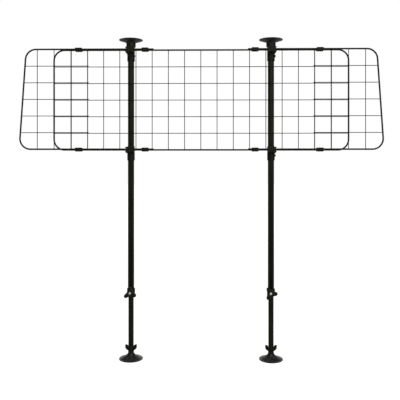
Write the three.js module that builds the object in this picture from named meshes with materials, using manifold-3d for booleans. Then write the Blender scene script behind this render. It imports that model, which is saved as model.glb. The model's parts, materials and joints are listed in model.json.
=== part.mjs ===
// Cargo barrier: a welded wire panel with a sliding wing at each end, hooked on two telescoping poles
// that are braced between a vehicle's floor and its roof.
// Millimetres. +X is to the right, -Y is the front, where the wings lie, and +Z is up.
// The origin lies on the floor, midway between the two feet.
import * as THREE from "three";
import { mergeVertices } from "three/addons/utils/BufferGeometryUtils.js";
import Module from "manifold-3d";

const wasm = await Module();
wasm.setup();

// Fits shared by all pieces
const fitGap = 0.3; // between pieces that touch or slide on each other
const cutOverrun = 4; // how far a cutting shape passes the face that it opens
const mergeDistance = 0.001; // vertices nearer than this are one

// Facets on round shapes
const tubeSides = 20;
const padSides = 24;
const rodSides = 8;
const wireSides = 6;
const screwSides = 16;
const boreSides = 12;
const cornerSteps = 5;

// Welded panel in the middle
const panelWidth = 898.8; // between the axes of the side rods
const panelBottomHeight = 643.3; // axis of the lower rod above the floor
const panelCornerRadius = 32;
const rodDiameter = 5;
const wireDiameter = 2.3;
const weldDepth = 0.3; // how far crossing wires melt into each other
const rowPitch = 50.8;
const rowWires = 5;
const columnPitch = 49.55;
const columnWires = 17;

// Sliding wings in front of the panel
const wingTopReach = 533.5; // from the middle to the slanted side, along the upper arm
const wingBottomReach = 555; // the same along the lower arm
const wingCornerRadius = 32;
const wingArmEnd = 143.5; // from the middle to the arms' free ends
const wingLift = 2; // how much higher a wing's arms lie than the panel's rods
const wingStackClearance = 0.6; // between the panel's rod and the arm in front of it
const wingNetInnerEnd = 345; // from the middle to the wing's innermost upright wire
const wingNetOuterInset = 34; // from the narrower arm's reach to the outermost upright wire
const wingColumnWires = 4;

// Clips that hold each arm against the panel's rod
const clipLength = 22;
const clipEndWall = 2.6; // above and below the two rods
const clipSideWall = 2.2; // in front of and behind the two rods
const clipChamfer = 2.6;
const clipSlotClearance = 0.45; // each side of a wire that passes through the slot
const leftOuterClipPlace = 373; // from the middle, fixed on the panel's rods
const rightOuterClipPlace = 362;
const leftInnerClipPlace = 170; // from the middle, fixed on the wing's arms
const rightInnerClipPlace = 165;

// Telescoping poles
const poleSpacing = 430.6;
const upperTubeDiameter = 19;
const lowerTubeDiameter = 16;
const lowerTubeWall = 1.2;
const lowerTubeLength = 400;
const tubeCapLength = 16;
const tubeCapFlange = 2;

// Brackets that hook the panel on the poles
const bracketSleeveWall = 1.8;
const bracketRise = 11.5; // top of the bracket above the panel's rod
const bracketDrop = 32; // foot of the bracket below the panel's rod
const bracketHeadWidth = 23.6;
const bracketJawDepth = 10.5; // of the hook's floor below the panel's rod
const bracketHookWall = 3.4; // in front of the rods
const bracketHookRise = 8; // top of the hook's front wall above the panel's rod
const bracketHookLip = 1.2; // bead that keeps the rods in the hook
const bracketToothReach = 2.9; // of the two outer teeth, beyond the head
const bracketToothHeight = 4.8;
const bracketToothMouth = 10.6; // open height between the teeth
const bracketSlope = 4.5; // rise of the hook's slanted underside
const bracketShoulder = 1.4;
const bracketFootChamfer = 0.5; // of the sleeve's lower rim

// Angles, as the parts were left: turns are about the pole and counted from the front
const degrees = Math.PI / 180;
const leftTopScrewTurn = 57 * degrees;
const leftBottomScrewTurn = 32 * degrees;
const rightScrewTurn = 90 * degrees;
const leftKnobTurn = 0 * degrees;
const rightKnobTurn = -6 * degrees;
const leftLobeAngle = -25 * degrees;
const rightLobeAngle = 0 * degrees;

// Set screws in the brackets
const setScrewDiameter = 5;
const setScrewDrop = 16.5; // below the panel's rod
const setScrewHeadDiameter = 8.6;
const setScrewHeadHeight = 2.6;
const setScrewHeadCrown = 0.8;
const setScrewSlotWidth = 1.3;
const setScrewSlotDepth = 1.1;

// Clamp collar at the foot of each upper tube
const collarBottomHeight = 194.8;
const collarHeight = 23.2;
const collarDiameter = 24.4;
const collarChamfer = 1.6;
const collarLip = 3; // closes in below the upper tube and guides the lower one
const collarBossDiameter = 15;
const collarBossReach = 20; // from the pole's axis
const knobHeight = 208; // axis of the clamp screw above the floor

// Three-lobed clamp knob, its screw and the shoe that it presses on the lower tube
const clampPitch = 1; // advance of the clamp screw in one turn
const clampTurns = 3; // from tight to free
const clampScrewDiameter = 6;
const clampScrewHeadDiameter = 8.3;
const clampScrewHeadHeight = 2;
const clampScrewProud = 0.6;
const shoeDiameter = 8;
const shoeLength = 3.3;
const knobReach = 20.5; // from the screw's axis to the end of a lobe
const knobLobeWidth = 11;
const knobValleyRadius = 7.4;
const knobThickness = 10.5;
const knobHubDiameter = 13;
const knobHubLength = 2.6;
const knobBevel = 1.2;

// Screw jack at the foot of each pole
const jackStudDiameter = 10;
const wingNutHubDiameter = 18;
const wingNutHubHeight = 13;
const wingNutEarHeight = 6.2; // above the hub
const wingNutSpan = 35.6;
const wingNutEarThickness = 4.2;
const wingNutEarTip = 2.6;
const earBellyShare = 0.28; // of the hub's height, where the ear's round underside is half way out
const earShoulderShare = 0.58; // of the hub's height, where the underside reaches the tip
const jackStudTop = 96; // upper end of the stud above the floor
const jackStudFlangeDiameter = 28;
const jackStudFlangeThickness = 3;
const jackStudFlangeHeight = 6; // of its underside above the floor
const jackStudChamfer = 1;
const endPlugFlange = 2;
const endPlugLength = 20;

// Rubber pads at both ends of the poles
const padDiameter = 73;
const padRim = 2.6;
const padEdge = 0.9; // rounding of the rim
const padDishDiameter = 40;
const padDishDepth = 1.2;
const footConeHeight = 12;
const footNeckDiameter = 17.8;
const footNeckTop = 24.8; // above the floor
const footFlare = 4; // of the neck into the cone
const topPadRim = 1.4;
const topPadEdge = 0.5;
const topConeHeight = 7.6;
const topNeckDiameter = 28.8;
const topNeckHeight = 13.4;
const topSocketDepth = 12;

// Sizes that follow from those above
const rodRadius = rodDiameter / 2;
const wireRadius = wireDiameter / 2;
const upperTubeRadius = upperTubeDiameter / 2;
const lowerTubeRadius = lowerTubeDiameter / 2;
const upperTubeBore = lowerTubeRadius + fitGap;
const sleeveBore = upperTubeRadius + fitGap;
const sleeveRadius = sleeveBore + bracketSleeveWall;
const panelDepth = -(sleeveRadius + fitGap + rodRadius);
const wingStack = rodDiameter + wingStackClearance;
const wingDepth = panelDepth - wingStack;
const panelHeight = (rowWires + 1) * rowPitch;
const panelTopHeight = panelBottomHeight + panelHeight;
const wingNetOuterEnd = Math.min(wingTopReach, wingBottomReach) - wingNetOuterInset;
const wingColumnPitch = (wingNetOuterEnd - wingNetInnerEnd) / (wingColumnWires - 1);
const topPadBottom = panelTopHeight + bracketRise + fitGap;
const upperTubeTop = topPadBottom + topSocketDepth;
const upperTubeBottom = collarBottomHeight + collarLip + fitGap;
const wingNutBottom = footNeckTop + fitGap;
const endPlugBottom = wingNutBottom + wingNutHubHeight + fitGap;
const lowerTubeBottom = endPlugBottom + endPlugFlange + fitGap;
const lowerTubeBore = lowerTubeRadius - lowerTubeWall;
const poleOffset = poleSpacing / 2;

// Finishes
const paint = (color, roughness, metalness) =>
  new THREE.MeshStandardMaterial({ color, roughness, metalness });
const finishes = {
  blackRod: () => paint(0x17170f, 0.45, 0.2),
  blackTube: () => paint(0x1a1a13, 0.4, 0.2),
  plastic: () => paint(0x1c1c18, 0.6, 0),
  rubber: () => paint(0x202020, 0.75, 0),
  blackSteel: () => paint(0x24241f, 0.45, 0.5),
  zinc: () => paint(0xb4b4ae, 0.35, 0.9),
};

// Turns a closed three.js geometry into a solid that can be joined and cut.
function solidOf(geometry) {
  const bare = geometry.clone();
  bare.deleteAttribute("normal");
  bare.deleteAttribute("uv");
  const merged = mergeVertices(bare, mergeDistance);
  return new wasm.Manifold(
    new wasm.Mesh({
      numProp: 3,
      vertProperties: merged.attributes.position.array,
      triVerts: Uint32Array.from(merged.index.array),
    }),
  );
}

function geometryOf(solid) {
  const mesh = solid.getMesh();
  const geometry = new THREE.BufferGeometry();
  geometry.setAttribute("position", new THREE.BufferAttribute(mesh.vertProperties, 3));
  geometry.setIndex(new THREE.BufferAttribute(mesh.triVerts, 1));
  geometry.computeVertexNormals();
  return geometry;
}

// A body turned about Z. Its profile is a list of [radius, height] that runs anticlockwise,
// either from the axis to the axis or closed on itself.
function turned(profile, sides) {
  const points = profile.map(([radius, height]) => new THREE.Vector2(radius, height));
  return new THREE.LatheGeometry(points, sides).rotateX(Math.PI / 2);
}

function turnedRing(innerRadius, outerRadius, bottom, top, sides) {
  const profile = [
    [innerRadius, bottom],
    [outerRadius, bottom],
    [outerRadius, top],
    [innerRadius, top],
    [innerRadius, bottom],
  ];
  return turned(profile, sides);
}

function post(radius, bottom, top, sides) {
  return new THREE.CylinderGeometry(radius, radius, top - bottom, sides)
    .rotateX(Math.PI / 2)
    .translate(0, 0, (bottom + top) / 2);
}

// A bar along X between two places.
function barAlongX(radius, start, end, sides) {
  return new THREE.CylinderGeometry(radius, radius, end - start, sides)
    .rotateZ(Math.PI / 2)
    .translate((start + end) / 2, 0, 0);
}

// A pin that points to -Y, between two distances from the origin.
function pinForward(radius, near, far, sides) {
  return new THREE.CylinderGeometry(radius, radius, far - near, sides).translate(
    0,
    -(near + far) / 2,
    0,
  );
}

function block(xLow, xHigh, yLow, yHigh, zLow, zHigh) {
  return new THREE.BoxGeometry(xHigh - xLow, yHigh - yLow, zHigh - zLow).translate(
    (xLow + xHigh) / 2,
    (yLow + yHigh) / 2,
    (zLow + zHigh) / 2,
  );
}

// An outline drawn as the front view shows it, x to the right and z up, given its depth along Y.
function frontPlate(shape, yFront, yBack, curveSegments, bevel = 0) {
  const geometry = new THREE.ExtrudeGeometry(shape, {
    depth: yBack - yFront - 2 * bevel,
    curveSegments,
    bevelEnabled: bevel > 0,
    bevelThickness: bevel,
    bevelSize: bevel,
    bevelOffset: -bevel,
    bevelSegments: 1,
  });
  return geometry.rotateX(Math.PI / 2).translate(0, yBack - bevel, 0);
}

// An outline drawn as the side view shows it, y and z, given its length along X about the middle.
function sideBar(shape, length, curveSegments) {
  const settings = { depth: length, curveSegments, bevelEnabled: false };
  return new THREE.ExtrudeGeometry(shape, settings)
    .translate(0, 0, -length / 2)
    .rotateX(Math.PI / 2)
    .rotateZ(Math.PI / 2);
}

function polygon(points) {
  return new THREE.Shape(points.map(([x, y]) => new THREE.Vector2(x, y)));
}

// A round rod bent along a path that is drawn in the front view. Each ring of the sweep lies in the
// plane that halves the bend there.
function bentRod(path, radius, closed) {
  const drawn = path.getPoints(cornerSteps);
  const points = drawn.filter((point, i) => {
    const next = closed || i < drawn.length - 1 ? drawn[(i + 1) % drawn.length] : null;
    return !next || point.distanceTo(next) > mergeDistance;
  });
  const count = points.length;
  const positions = [];
  const indices = [];
  points.forEach((point, i) => {
    const before = closed || i > 0 ? points[(i + count - 1) % count] : point;
    const after = closed || i < count - 1 ? points[(i + 1) % count] : point;
    const arriving = point.clone().sub(before).normalize();
    const leaving = after.clone().sub(point).normalize();
    const along = arriving.clone().add(leaving).normalize();
    const stretch = 1 / Math.max(along.dot(arriving), along.dot(leaving));
    for (let side = 0; side < rodSides; side += 1) {
      const angle = (2 * Math.PI * side) / rodSides;
      const across = radius * stretch * Math.cos(angle);
      positions.push(point.x - along.y * across);
      positions.push(radius * Math.sin(angle));
      positions.push(point.y + along.x * across);
    }
  });
  const rings = closed ? count : count - 1;
  for (let ring = 0; ring < rings; ring += 1) {
    const here = ring * rodSides;
    const there = ((ring + 1) % count) * rodSides;
    for (let side = 0; side < rodSides; side += 1) {
      const next = (side + 1) % rodSides;
      indices.push(here + side, there + side, there + next);
      indices.push(here + side, there + next, here + next);
    }
  }
  if (!closed) {
    const last = (count - 1) * rodSides;
    for (let side = 1; side < rodSides - 1; side += 1) {
      indices.push(0, side, side + 1);
      indices.push(last, last + side + 1, last + side);
    }
  }
  const geometry = new THREE.BufferGeometry();
  geometry.setAttribute("position", new THREE.Float32BufferAttribute(positions, 3));
  geometry.setIndex(indices);
  return geometry;
}

// Welded nets: upright wires in the rods' own plane, cross wires melted into their backs.
const crossWireDepth = wireDiameter - weldDepth;

function uprightWire(x, bottom, top) {
  return post(wireRadius, bottom, top, wireSides).translate(x, 0, 0);
}

function crossWire(start, end, height) {
  return barAlongX(wireRadius, start, end, wireSides).translate(0, crossWireDepth, height);
}

function weldedNet(wires) {
  return wires.map(solidOf).reduce((net, wire) => net.add(wire));
}

const rowHeights = Array.from({ length: rowWires }, (_, i) => (i + 1) * rowPitch);
const wireEndInset = rodRadius + fitGap;

function centerFrame() {
  const half = panelWidth / 2;
  const r = panelCornerRadius;
  const path = new THREE.Path();
  path.moveTo(-half + r, 0);
  path.lineTo(half - r, 0);
  path.absarc(half - r, r, r, -Math.PI / 2, 0, false);
  path.lineTo(half, panelHeight - r);
  path.absarc(half - r, panelHeight - r, r, 0, Math.PI / 2, false);
  path.lineTo(-half + r, panelHeight);
  path.absarc(-half + r, panelHeight - r, r, Math.PI / 2, Math.PI, false);
  path.lineTo(-half, r);
  path.absarc(-half + r, r, r, Math.PI, (3 * Math.PI) / 2, false);
  return bentRod(path, rodRadius, true);
}

function centerNet() {
  const middle = (columnWires - 1) / 2;
  const uprights = Array.from({ length: columnWires }, (_, i) =>
    uprightWire((i - middle) * columnPitch, wireEndInset, panelHeight - wireEndInset),
  );
  const reach = panelWidth / 2 - wireEndInset;
  const crossings = rowHeights.map((height) => crossWire(-reach, reach, height));
  return weldedNet([...uprights, ...crossings]);
}

// The wings are drawn for the right-hand side and mirrored for the left one.
function wingSideAt(height) {
  return wingBottomReach + ((wingTopReach - wingBottomReach) * height) / panelHeight;
}

const wingSlant = Math.atan((wingBottomReach - wingTopReach) / panelHeight);

function wingFrame() {
  const r = wingCornerRadius;
  const lowerTangent = r / Math.tan(Math.PI / 4 - wingSlant / 2);
  const upperTangent = r / Math.tan(Math.PI / 4 + wingSlant / 2);
  const lowerCentre = wingBottomReach - lowerTangent;
  const upperCentre = wingTopReach - upperTangent;
  const path = new THREE.Path();
  path.moveTo(wingArmEnd, 0);
  path.lineTo(lowerCentre, 0);
  path.absarc(lowerCentre, r, r, -Math.PI / 2, wingSlant, false);
  path.absarc(upperCentre, panelHeight - r, r, wingSlant, Math.PI / 2, false);
  path.lineTo(wingArmEnd, panelHeight);
  return bentRod(path, rodRadius, false);
}

function wingNet() {
  const uprights = Array.from({ length: wingColumnWires }, (_, i) =>
    uprightWire(wingNetInnerEnd + i * wingColumnPitch, wireEndInset, panelHeight - wireEndInset),
  );
  const sideInset = wireEndInset / Math.cos(wingSlant) + wireRadius * Math.tan(wingSlant);
  const crossings = rowHeights.map((height) =>
    crossWire(wingNetInnerEnd - wireRadius, wingSideAt(height) - sideInset, height),
  );
  return weldedNet([...uprights, ...crossings]);
}

// A clip round the panel's rod, at the origin, and the wing's arm in front of it. A slot under each
// bore lets the upright wires pass as the wing slides. meshSide is -1 where the wires hang below.
function clip(meshSide) {
  const bore = rodRadius + fitGap;
  const slotHalf = wireRadius + clipSlotClearance;
  const front = -(wingStack + rodRadius + clipSideWall);
  const back = rodRadius + clipSideWall;
  const bottom = -(rodRadius + clipEndWall);
  const top = wingLift + rodRadius + clipEndWall;
  const half = clipLength / 2;
  const chamfer = clipChamfer;
  const outline = polygon([
    [-half, bottom + chamfer],
    [-half + chamfer, bottom],
    [half - chamfer, bottom],
    [half, bottom + chamfer],
    [half, top - chamfer],
    [half - chamfer, top],
    [-half + chamfer, top],
    [-half, top - chamfer],
  ]);
  const section = polygon([
    [front, bottom + chamfer],
    [front + chamfer, bottom],
    [back - chamfer, bottom],
    [back, bottom + chamfer],
    [back, top - chamfer],
    [back - chamfer, top],
    [front + chamfer, top],
    [front, top - chamfer],
  ]);
  const cutter = clipLength / 2 + cutOverrun;
  const openEdge = meshSide < 0 ? bottom - cutOverrun : top + cutOverrun;
  const keyhole = (depth, height) => {
    const hole = solidOf(barAlongX(bore, -cutter, cutter, boreSides).translate(0, depth, height));
    const low = Math.min(openEdge, height);
    const high = Math.max(openEdge, height);
    const slot = block(-cutter, cutter, depth - slotHalf, depth + slotHalf, low, high);
    return hole.add(solidOf(slot));
  };
  return solidOf(sideBar(section, clipLength + cutOverrun, 1))
    .intersect(solidOf(frontPlate(outline, front - cutOverrun, back + cutOverrun, 1)))
    .subtract(keyhole(0, 0))
    .subtract(keyhole(-wingStack, wingLift));
}

// A bracket: a sleeve on the pole with a hook in front of it. Both rods drop into the hook from
// above. The origin is on the pole's axis at the height of the panel's rod; outer is the side that
// faces away from the middle, 1 or -1, and screwTurn is the set screw's angle from the front.
function bracket(outer, screwTurn) {
  const sleeve = turned(
    [
      [0, -bracketDrop],
      [sleeveRadius - bracketFootChamfer, -bracketDrop],
      [sleeveRadius, -bracketDrop + bracketFootChamfer],
      [sleeveRadius, bracketRise - bracketShoulder],
      [sleeveRadius - bracketShoulder, bracketRise],
      [0, bracketRise],
    ],
    tubeSides,
  );
  const half = bracketHeadWidth / 2;
  const hookFront = wingDepth - rodRadius - fitGap - bracketHookWall;
  const mouthMiddle = wingLift / 2;
  const mouthLow = mouthMiddle - bracketToothMouth / 2;
  const mouthHigh = mouthMiddle + bracketToothMouth / 2;
  const tip = half + bracketToothReach;
  const head = [
    [-half, -bracketJawDepth + bracketShoulder],
    [-half + bracketShoulder, -bracketJawDepth],
    [half, -bracketJawDepth],
    [tip, mouthLow - bracketToothHeight / 2],
    [tip, mouthLow],
    [half, -rodRadius],
    [half, wingLift + rodRadius],
    [tip, mouthHigh],
    [tip, mouthHigh + bracketToothHeight / 2],
    [half, bracketHookRise + bracketShoulder],
    [-half + bracketShoulder, bracketHookRise + bracketShoulder],
    [-half, bracketHookRise],
  ].map(([x, z]) => [outer * x, z]);
  const headPlate = frontPlate(polygon(outer > 0 ? head : head.reverse()), hookFront, 0, 1);
  const underside = polygon([
    [hookFront - cutOverrun, -bracketJawDepth - cutOverrun],
    [0, -bracketJawDepth - cutOverrun],
    [0, -bracketJawDepth],
    [-sleeveRadius, -bracketJawDepth],
    [hookFront, -bracketJawDepth + bracketSlope],
    [hookFront - cutOverrun, -bracketJawDepth + bracketSlope],
  ]);
  const cutWidth = 2 * (tip + cutOverrun);
  const channelFront = hookFront + bracketHookWall;
  const channelBack = -sleeveRadius;
  const seat = -rodRadius - fitGap;
  const lipUnder = wingLift + rodRadius + fitGap;
  const ceiling = bracketRise + cutOverrun;
  const channel = polygon([
    [channelFront, seat],
    [channelBack, seat],
    [channelBack, ceiling],
    [channelFront, ceiling],
    [channelFront, lipUnder + 2 * bracketHookLip],
    [channelFront + bracketHookLip, lipUnder + bracketHookLip],
    [channelFront, lipUnder],
  ]);
  const screwBore = setScrewDiameter / 2 + fitGap;
  const screwHole = pinForward(screwBore, 0, sleeveRadius + cutOverrun, screwSides)
    .translate(0, 0, -setScrewDrop)
    .rotateZ(screwTurn);
  const poleBore = post(sleeveBore, -bracketDrop - cutOverrun, ceiling, tubeSides);
  return solidOf(headPlate)
    .subtract(solidOf(sideBar(underside, cutWidth, 1)))
    .subtract(solidOf(sideBar(channel, cutWidth, 1)))
    .add(solidOf(sleeve))
    .subtract(solidOf(poleBore))
    .subtract(solidOf(screwHole));
}

// A cross-slotted set screw along -Y that bears on the pole through the bracket's sleeve.
function setScrew() {
  const headNear = sleeveRadius + fitGap;
  const headFar = headNear + setScrewHeadHeight;
  const headRadius = setScrewHeadDiameter / 2;
  const body = turned(
    [
      [0, sleeveBore],
      [setScrewDiameter / 2, sleeveBore],
      [setScrewDiameter / 2, headNear],
      [headRadius, headNear],
      [headRadius, headFar - setScrewHeadCrown],
      [headRadius - setScrewHeadCrown, headFar],
      [0, headFar],
    ],
    screwSides,
  ).rotateX(Math.PI / 2);
  const slotFloor = headFar - setScrewSlotDepth;
  const slotHalf = setScrewSlotWidth / 2;
  const slotReach = headRadius - setScrewHeadCrown;
  const slotEnd = -(headFar + cutOverrun);
  const slotX = block(-slotReach, slotReach, slotEnd, -slotFloor, -slotHalf, slotHalf);
  const slotZ = block(-slotHalf, slotHalf, slotEnd, -slotFloor, -slotReach, slotReach);
  return solidOf(body).subtract(solidOf(slotX)).subtract(solidOf(slotZ));
}

// Upper tube, from the collar's lip to the roof pad's socket, pierced for the clamp shoe.
const shoeBore = shoeDiameter / 2 + fitGap;

function upperTube(knobTurn) {
  const tube = turnedRing(
    upperTubeBore,
    upperTubeRadius,
    upperTubeBottom,
    upperTubeTop,
    tubeSides,
  );
  const hole = pinForward(shoeBore, 0, collarDiameter, screwSides)
    .translate(0, 0, knobHeight)
    .rotateZ(knobTurn);
  return solidOf(tube).subtract(solidOf(hole));
}

// Collar: a moulded cup round the tube's end with a threaded boss for the clamp screw.
const shoeTravel = clampTurns * clampPitch;
const shoeNear = lowerTubeRadius + fitGap;
const shoeFar = shoeNear + shoeLength;
const threadStart = shoeFar + shoeTravel + fitGap;

function collar(knobTurn) {
  const radius = collarDiameter / 2;
  const top = collarBottomHeight + collarHeight;
  const lipTop = collarBottomHeight + collarLip;
  const cup = turned(
    [
      [upperTubeBore, collarBottomHeight],
      [radius - collarChamfer, collarBottomHeight],
      [radius, collarBottomHeight + collarChamfer],
      [radius, top - collarChamfer],
      [radius - collarChamfer, top],
      [sleeveBore, top],
      [sleeveBore, lipTop],
      [upperTubeBore, lipTop],
      [upperTubeBore, collarBottomHeight],
    ],
    tubeSides,
  );
  const boss = pinForward(collarBossDiameter / 2, 0, collarBossReach, screwSides);
  const pocket = pinForward(shoeBore, 0, threadStart, screwSides);
  const threadBore = clampScrewDiameter / 2 + fitGap;
  const thread = pinForward(threadBore, 0, collarBossReach + cutOverrun, screwSides);
  const place = (geometry) => solidOf(geometry.translate(0, 0, knobHeight).rotateZ(knobTurn));
  const inside = post(sleeveBore, lipTop, top, tubeSides);
  return solidOf(cup)
    .add(place(boss).subtract(solidOf(inside)))
    .subtract(place(pocket))
    .subtract(place(thread));
}

// Clamp knob with its lobes drawn in the front view, hub and screw bore along -Y.
const knobNear = collarBossReach + fitGap;
const knobPlateNear = knobNear + knobHubLength;
const knobFar = knobPlateNear + knobThickness;

function clampKnob(lobeAngle) {
  const lobes = 3;
  const endRadius = knobLobeWidth / 2;
  const endCentre = knobReach - endRadius;
  const step = (2 * Math.PI) / lobes;
  const quarter = Math.PI / 2;
  const shape = new THREE.Shape();
  const at = (radius, angle) => [radius * Math.cos(angle), radius * Math.sin(angle)];
  for (let lobe = 0; lobe < lobes; lobe += 1) {
    const angle = lobeAngle + lobe * step;
    const [x, y] = at(endCentre, angle);
    const startX = x + endRadius * Math.cos(angle - quarter);
    const startY = y + endRadius * Math.sin(angle - quarter);
    if (lobe === 0) {
      shape.moveTo(startX, startY);
    }
    shape.absarc(x, y, endRadius, angle - quarter, angle + quarter, false);
    const nextAngle = angle + step;
    const [nextX, nextY] = at(endCentre, nextAngle);
    const endX = nextX + endRadius * Math.cos(nextAngle - quarter);
    const endY = nextY + endRadius * Math.sin(nextAngle - quarter);
    const [valleyX, valleyY] = at(knobValleyRadius, angle + step / 2);
    shape.quadraticCurveTo(valleyX, valleyY, endX, endY);
  }
  const plate = frontPlate(shape, -knobFar, -knobPlateNear, cornerSteps, knobBevel);
  const hubEnd = knobFar - knobThickness / 2;
  const hub = pinForward(knobHubDiameter / 2, knobNear, hubEnd, screwSides);
  const screwBore = clampScrewDiameter / 2 + fitGap;
  const headBore = clampScrewHeadDiameter / 2 + fitGap;
  const headSeat = knobFar + clampScrewProud - clampScrewHeadHeight - fitGap;
  return solidOf(plate)
    .add(solidOf(hub))
    .subtract(solidOf(pinForward(screwBore, 0, knobFar + cutOverrun, screwSides)))
    .subtract(solidOf(pinForward(headBore, headSeat, knobFar + cutOverrun, screwSides)));
}

function clampScrew() {
  const headFar = knobFar + clampScrewProud;
  const headNear = headFar - clampScrewHeadHeight;
  const radius = clampScrewDiameter / 2;
  const headRadius = clampScrewHeadDiameter / 2;
  const profile = [
    [0, shoeFar + fitGap],
    [radius, shoeFar + fitGap],
    [radius, headNear],
    [headRadius, headNear],
    [headRadius, headFar - clampScrewProud],
    [headRadius - clampScrewProud, headFar],
    [0, headFar],
  ];
  return turned(profile, screwSides).rotateX(Math.PI / 2);
}

// The shoe's inner end is hollowed to the curve of the tube that it presses on.
function clampShoe() {
  const stock = pinForward(shoeDiameter / 2, 0, shoeFar, screwSides);
  const tube = post(shoeNear, -shoeDiameter, shoeDiameter, tubeSides);
  return solidOf(stock).subtract(solidOf(tube));
}

function lowerTube() {
  const top = lowerTubeBottom + lowerTubeLength;
  return turnedRing(lowerTubeBore, lowerTubeRadius, lowerTubeBottom, top, tubeSides);
}

function lowerTubeCap() {
  const top = lowerTubeBottom + lowerTubeLength;
  const plug = lowerTubeBore - fitGap;
  const profile = [
    [0, top - tubeCapLength],
    [plug, top - tubeCapLength],
    [plug, top + fitGap],
    [lowerTubeRadius, top + fitGap],
    [lowerTubeRadius, top + fitGap + tubeCapFlange],
    [0, top + fitGap + tubeCapFlange],
  ];
  return turned(profile, tubeSides);
}

// Threaded plug in the lower end of the lower tube; the wing nut bears on its flange.
function tubeEndPlug() {
  const bore = jackStudDiameter / 2 + fitGap;
  const plug = lowerTubeBore - fitGap;
  const flangeTop = endPlugBottom + endPlugFlange;
  const profile = [
    [bore, endPlugBottom],
    [lowerTubeRadius, endPlugBottom],
    [lowerTubeRadius, flangeTop],
    [plug, flangeTop],
    [plug, flangeTop + endPlugLength],
    [bore, flangeTop + endPlugLength],
    [bore, endPlugBottom],
  ];
  return turned(profile, tubeSides);
}

// Wing nut: a hub with two ears that rise beside the tube.
function wingNut() {
  const bottom = wingNutBottom;
  const hubTop = bottom + wingNutHubHeight;
  const earTop = hubTop + wingNutEarHeight;
  const hubRadius = wingNutHubDiameter / 2;
  const tip = wingNutSpan / 2;
  const tubeClearance = lowerTubeRadius + 2 * fitGap;
  const earBelly = bottom + earBellyShare * wingNutHubHeight;
  const earShoulder = bottom + earShoulderShare * wingNutHubHeight;
  const ear = polygon([
    [0, bottom],
    [hubRadius, bottom + wingNutEarTip / 4],
    [(hubRadius + tip) / 2, earBelly],
    [tip - wingNutEarTip / 4, earShoulder],
    [tip, earShoulder + wingNutEarTip / 2],
    [tip, earTop - wingNutEarTip / 2],
    [tip - wingNutEarTip / 2, earTop],
    [tip - wingNutEarTip, earTop],
    [tubeClearance + wingNutEarTip / 2, hubTop + wingNutEarTip / 2],
    [tubeClearance, hubTop],
    [0, hubTop],
  ]);
  const earHalf = wingNutEarThickness / 2;
  const earPlate = frontPlate(ear, -earHalf, earHalf, 1);
  const hub = turned(
    [
      [0, bottom],
      [hubRadius - wingNutEarTip / 2, bottom],
      [hubRadius, bottom + wingNutEarTip],
      [hubRadius, hubTop],
      [0, hubTop],
    ],
    tubeSides,
  );
  const bore = post(
    jackStudDiameter / 2 + fitGap,
    bottom - cutOverrun,
    hubTop + cutOverrun,
    screwSides,
  );
  const otherEar = earPlate.clone().rotateZ(Math.PI);
  return solidOf(hub)
    .add(solidOf(earPlate))
    .add(solidOf(otherEar))
    .subtract(solidOf(bore));
}

// Jack stud with the round flange that is moulded into the foot pad.
function footStud() {
  const radius = jackStudDiameter / 2;
  const flangeRadius = jackStudFlangeDiameter / 2;
  const flangeTop = jackStudFlangeHeight + jackStudFlangeThickness;
  const profile = [
    [0, jackStudFlangeHeight],
    [flangeRadius, jackStudFlangeHeight],
    [flangeRadius, flangeTop],
    [radius, flangeTop],
    [radius, jackStudTop - jackStudChamfer],
    [radius - jackStudChamfer, jackStudTop],
    [0, jackStudTop],
  ];
  return turned(profile, screwSides);
}

function footPad() {
  const radius = padDiameter / 2;
  const neck = footNeckDiameter / 2;
  const bore = jackStudDiameter / 2 + fitGap;
  const pocket = jackStudFlangeDiameter / 2 + fitGap;
  const pocketBottom = jackStudFlangeHeight - fitGap;
  const pocketTop = jackStudFlangeHeight + jackStudFlangeThickness + fitGap;
  const coneTop = padRim + footConeHeight;
  const profile = [
    [0, padDishDepth],
    [padDishDiameter / 2 - padDishDepth, padDishDepth],
    [padDishDiameter / 2, 0],
    [radius - padEdge, 0],
    [radius, padEdge],
    [radius, padRim - padEdge],
    [radius - padEdge, padRim],
    [neck + footFlare, coneTop - footFlare / 2],
    [neck + footFlare / 4, coneTop],
    [neck, coneTop + footFlare],
    [neck, footNeckTop],
    [bore, footNeckTop],
    [bore, pocketTop],
    [pocket, pocketTop],
    [pocket, pocketBottom],
    [0, pocketBottom],
  ];
  return turned(profile, padSides);
}

// Roof pad: a rubber cap pushed over the upper tube, with a wide dished face on top.
function topPad() {
  const radius = padDiameter / 2;
  const neck = topNeckDiameter / 2;
  const coneBottom = topPadBottom + topNeckHeight;
  const rimBottom = coneBottom + topConeHeight;
  const face = rimBottom + topPadRim;
  const profile = [
    [sleeveBore, topPadBottom],
    [neck, topPadBottom],
    [neck, coneBottom],
    [radius - topPadEdge, rimBottom],
    [radius, rimBottom + topPadEdge],
    [radius, face - topPadEdge],
    [radius - topPadEdge, face],
    [padDishDiameter / 2, face],
    [padDishDiameter / 2 - padDishDepth, face - padDishDepth],
    [0, face - padDishDepth],
    [0, upperTubeTop + fitGap],
    [sleeveBore, upperTubeTop + fitGap],
    [sleeveBore, topPadBottom],
  ];
  return turned(profile, padSides);
}

// Assembly
const barrier = new THREE.Group();

function piece(name, shape, finish) {
  const geometry = shape.isBufferGeometry ? shape : geometryOf(shape);
  const mesh = new THREE.Mesh(geometry, finish());
  mesh.name = name;
  return mesh;
}

// Middle panel
const panel = new THREE.Group();
panel.position.set(0, panelDepth, panelBottomHeight);
panel.add(piece("center_frame", centerFrame(), finishes.blackRod));
panel.add(piece("center_wire_net", centerNet(), finishes.blackRod));
barrier.add(panel);

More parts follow.
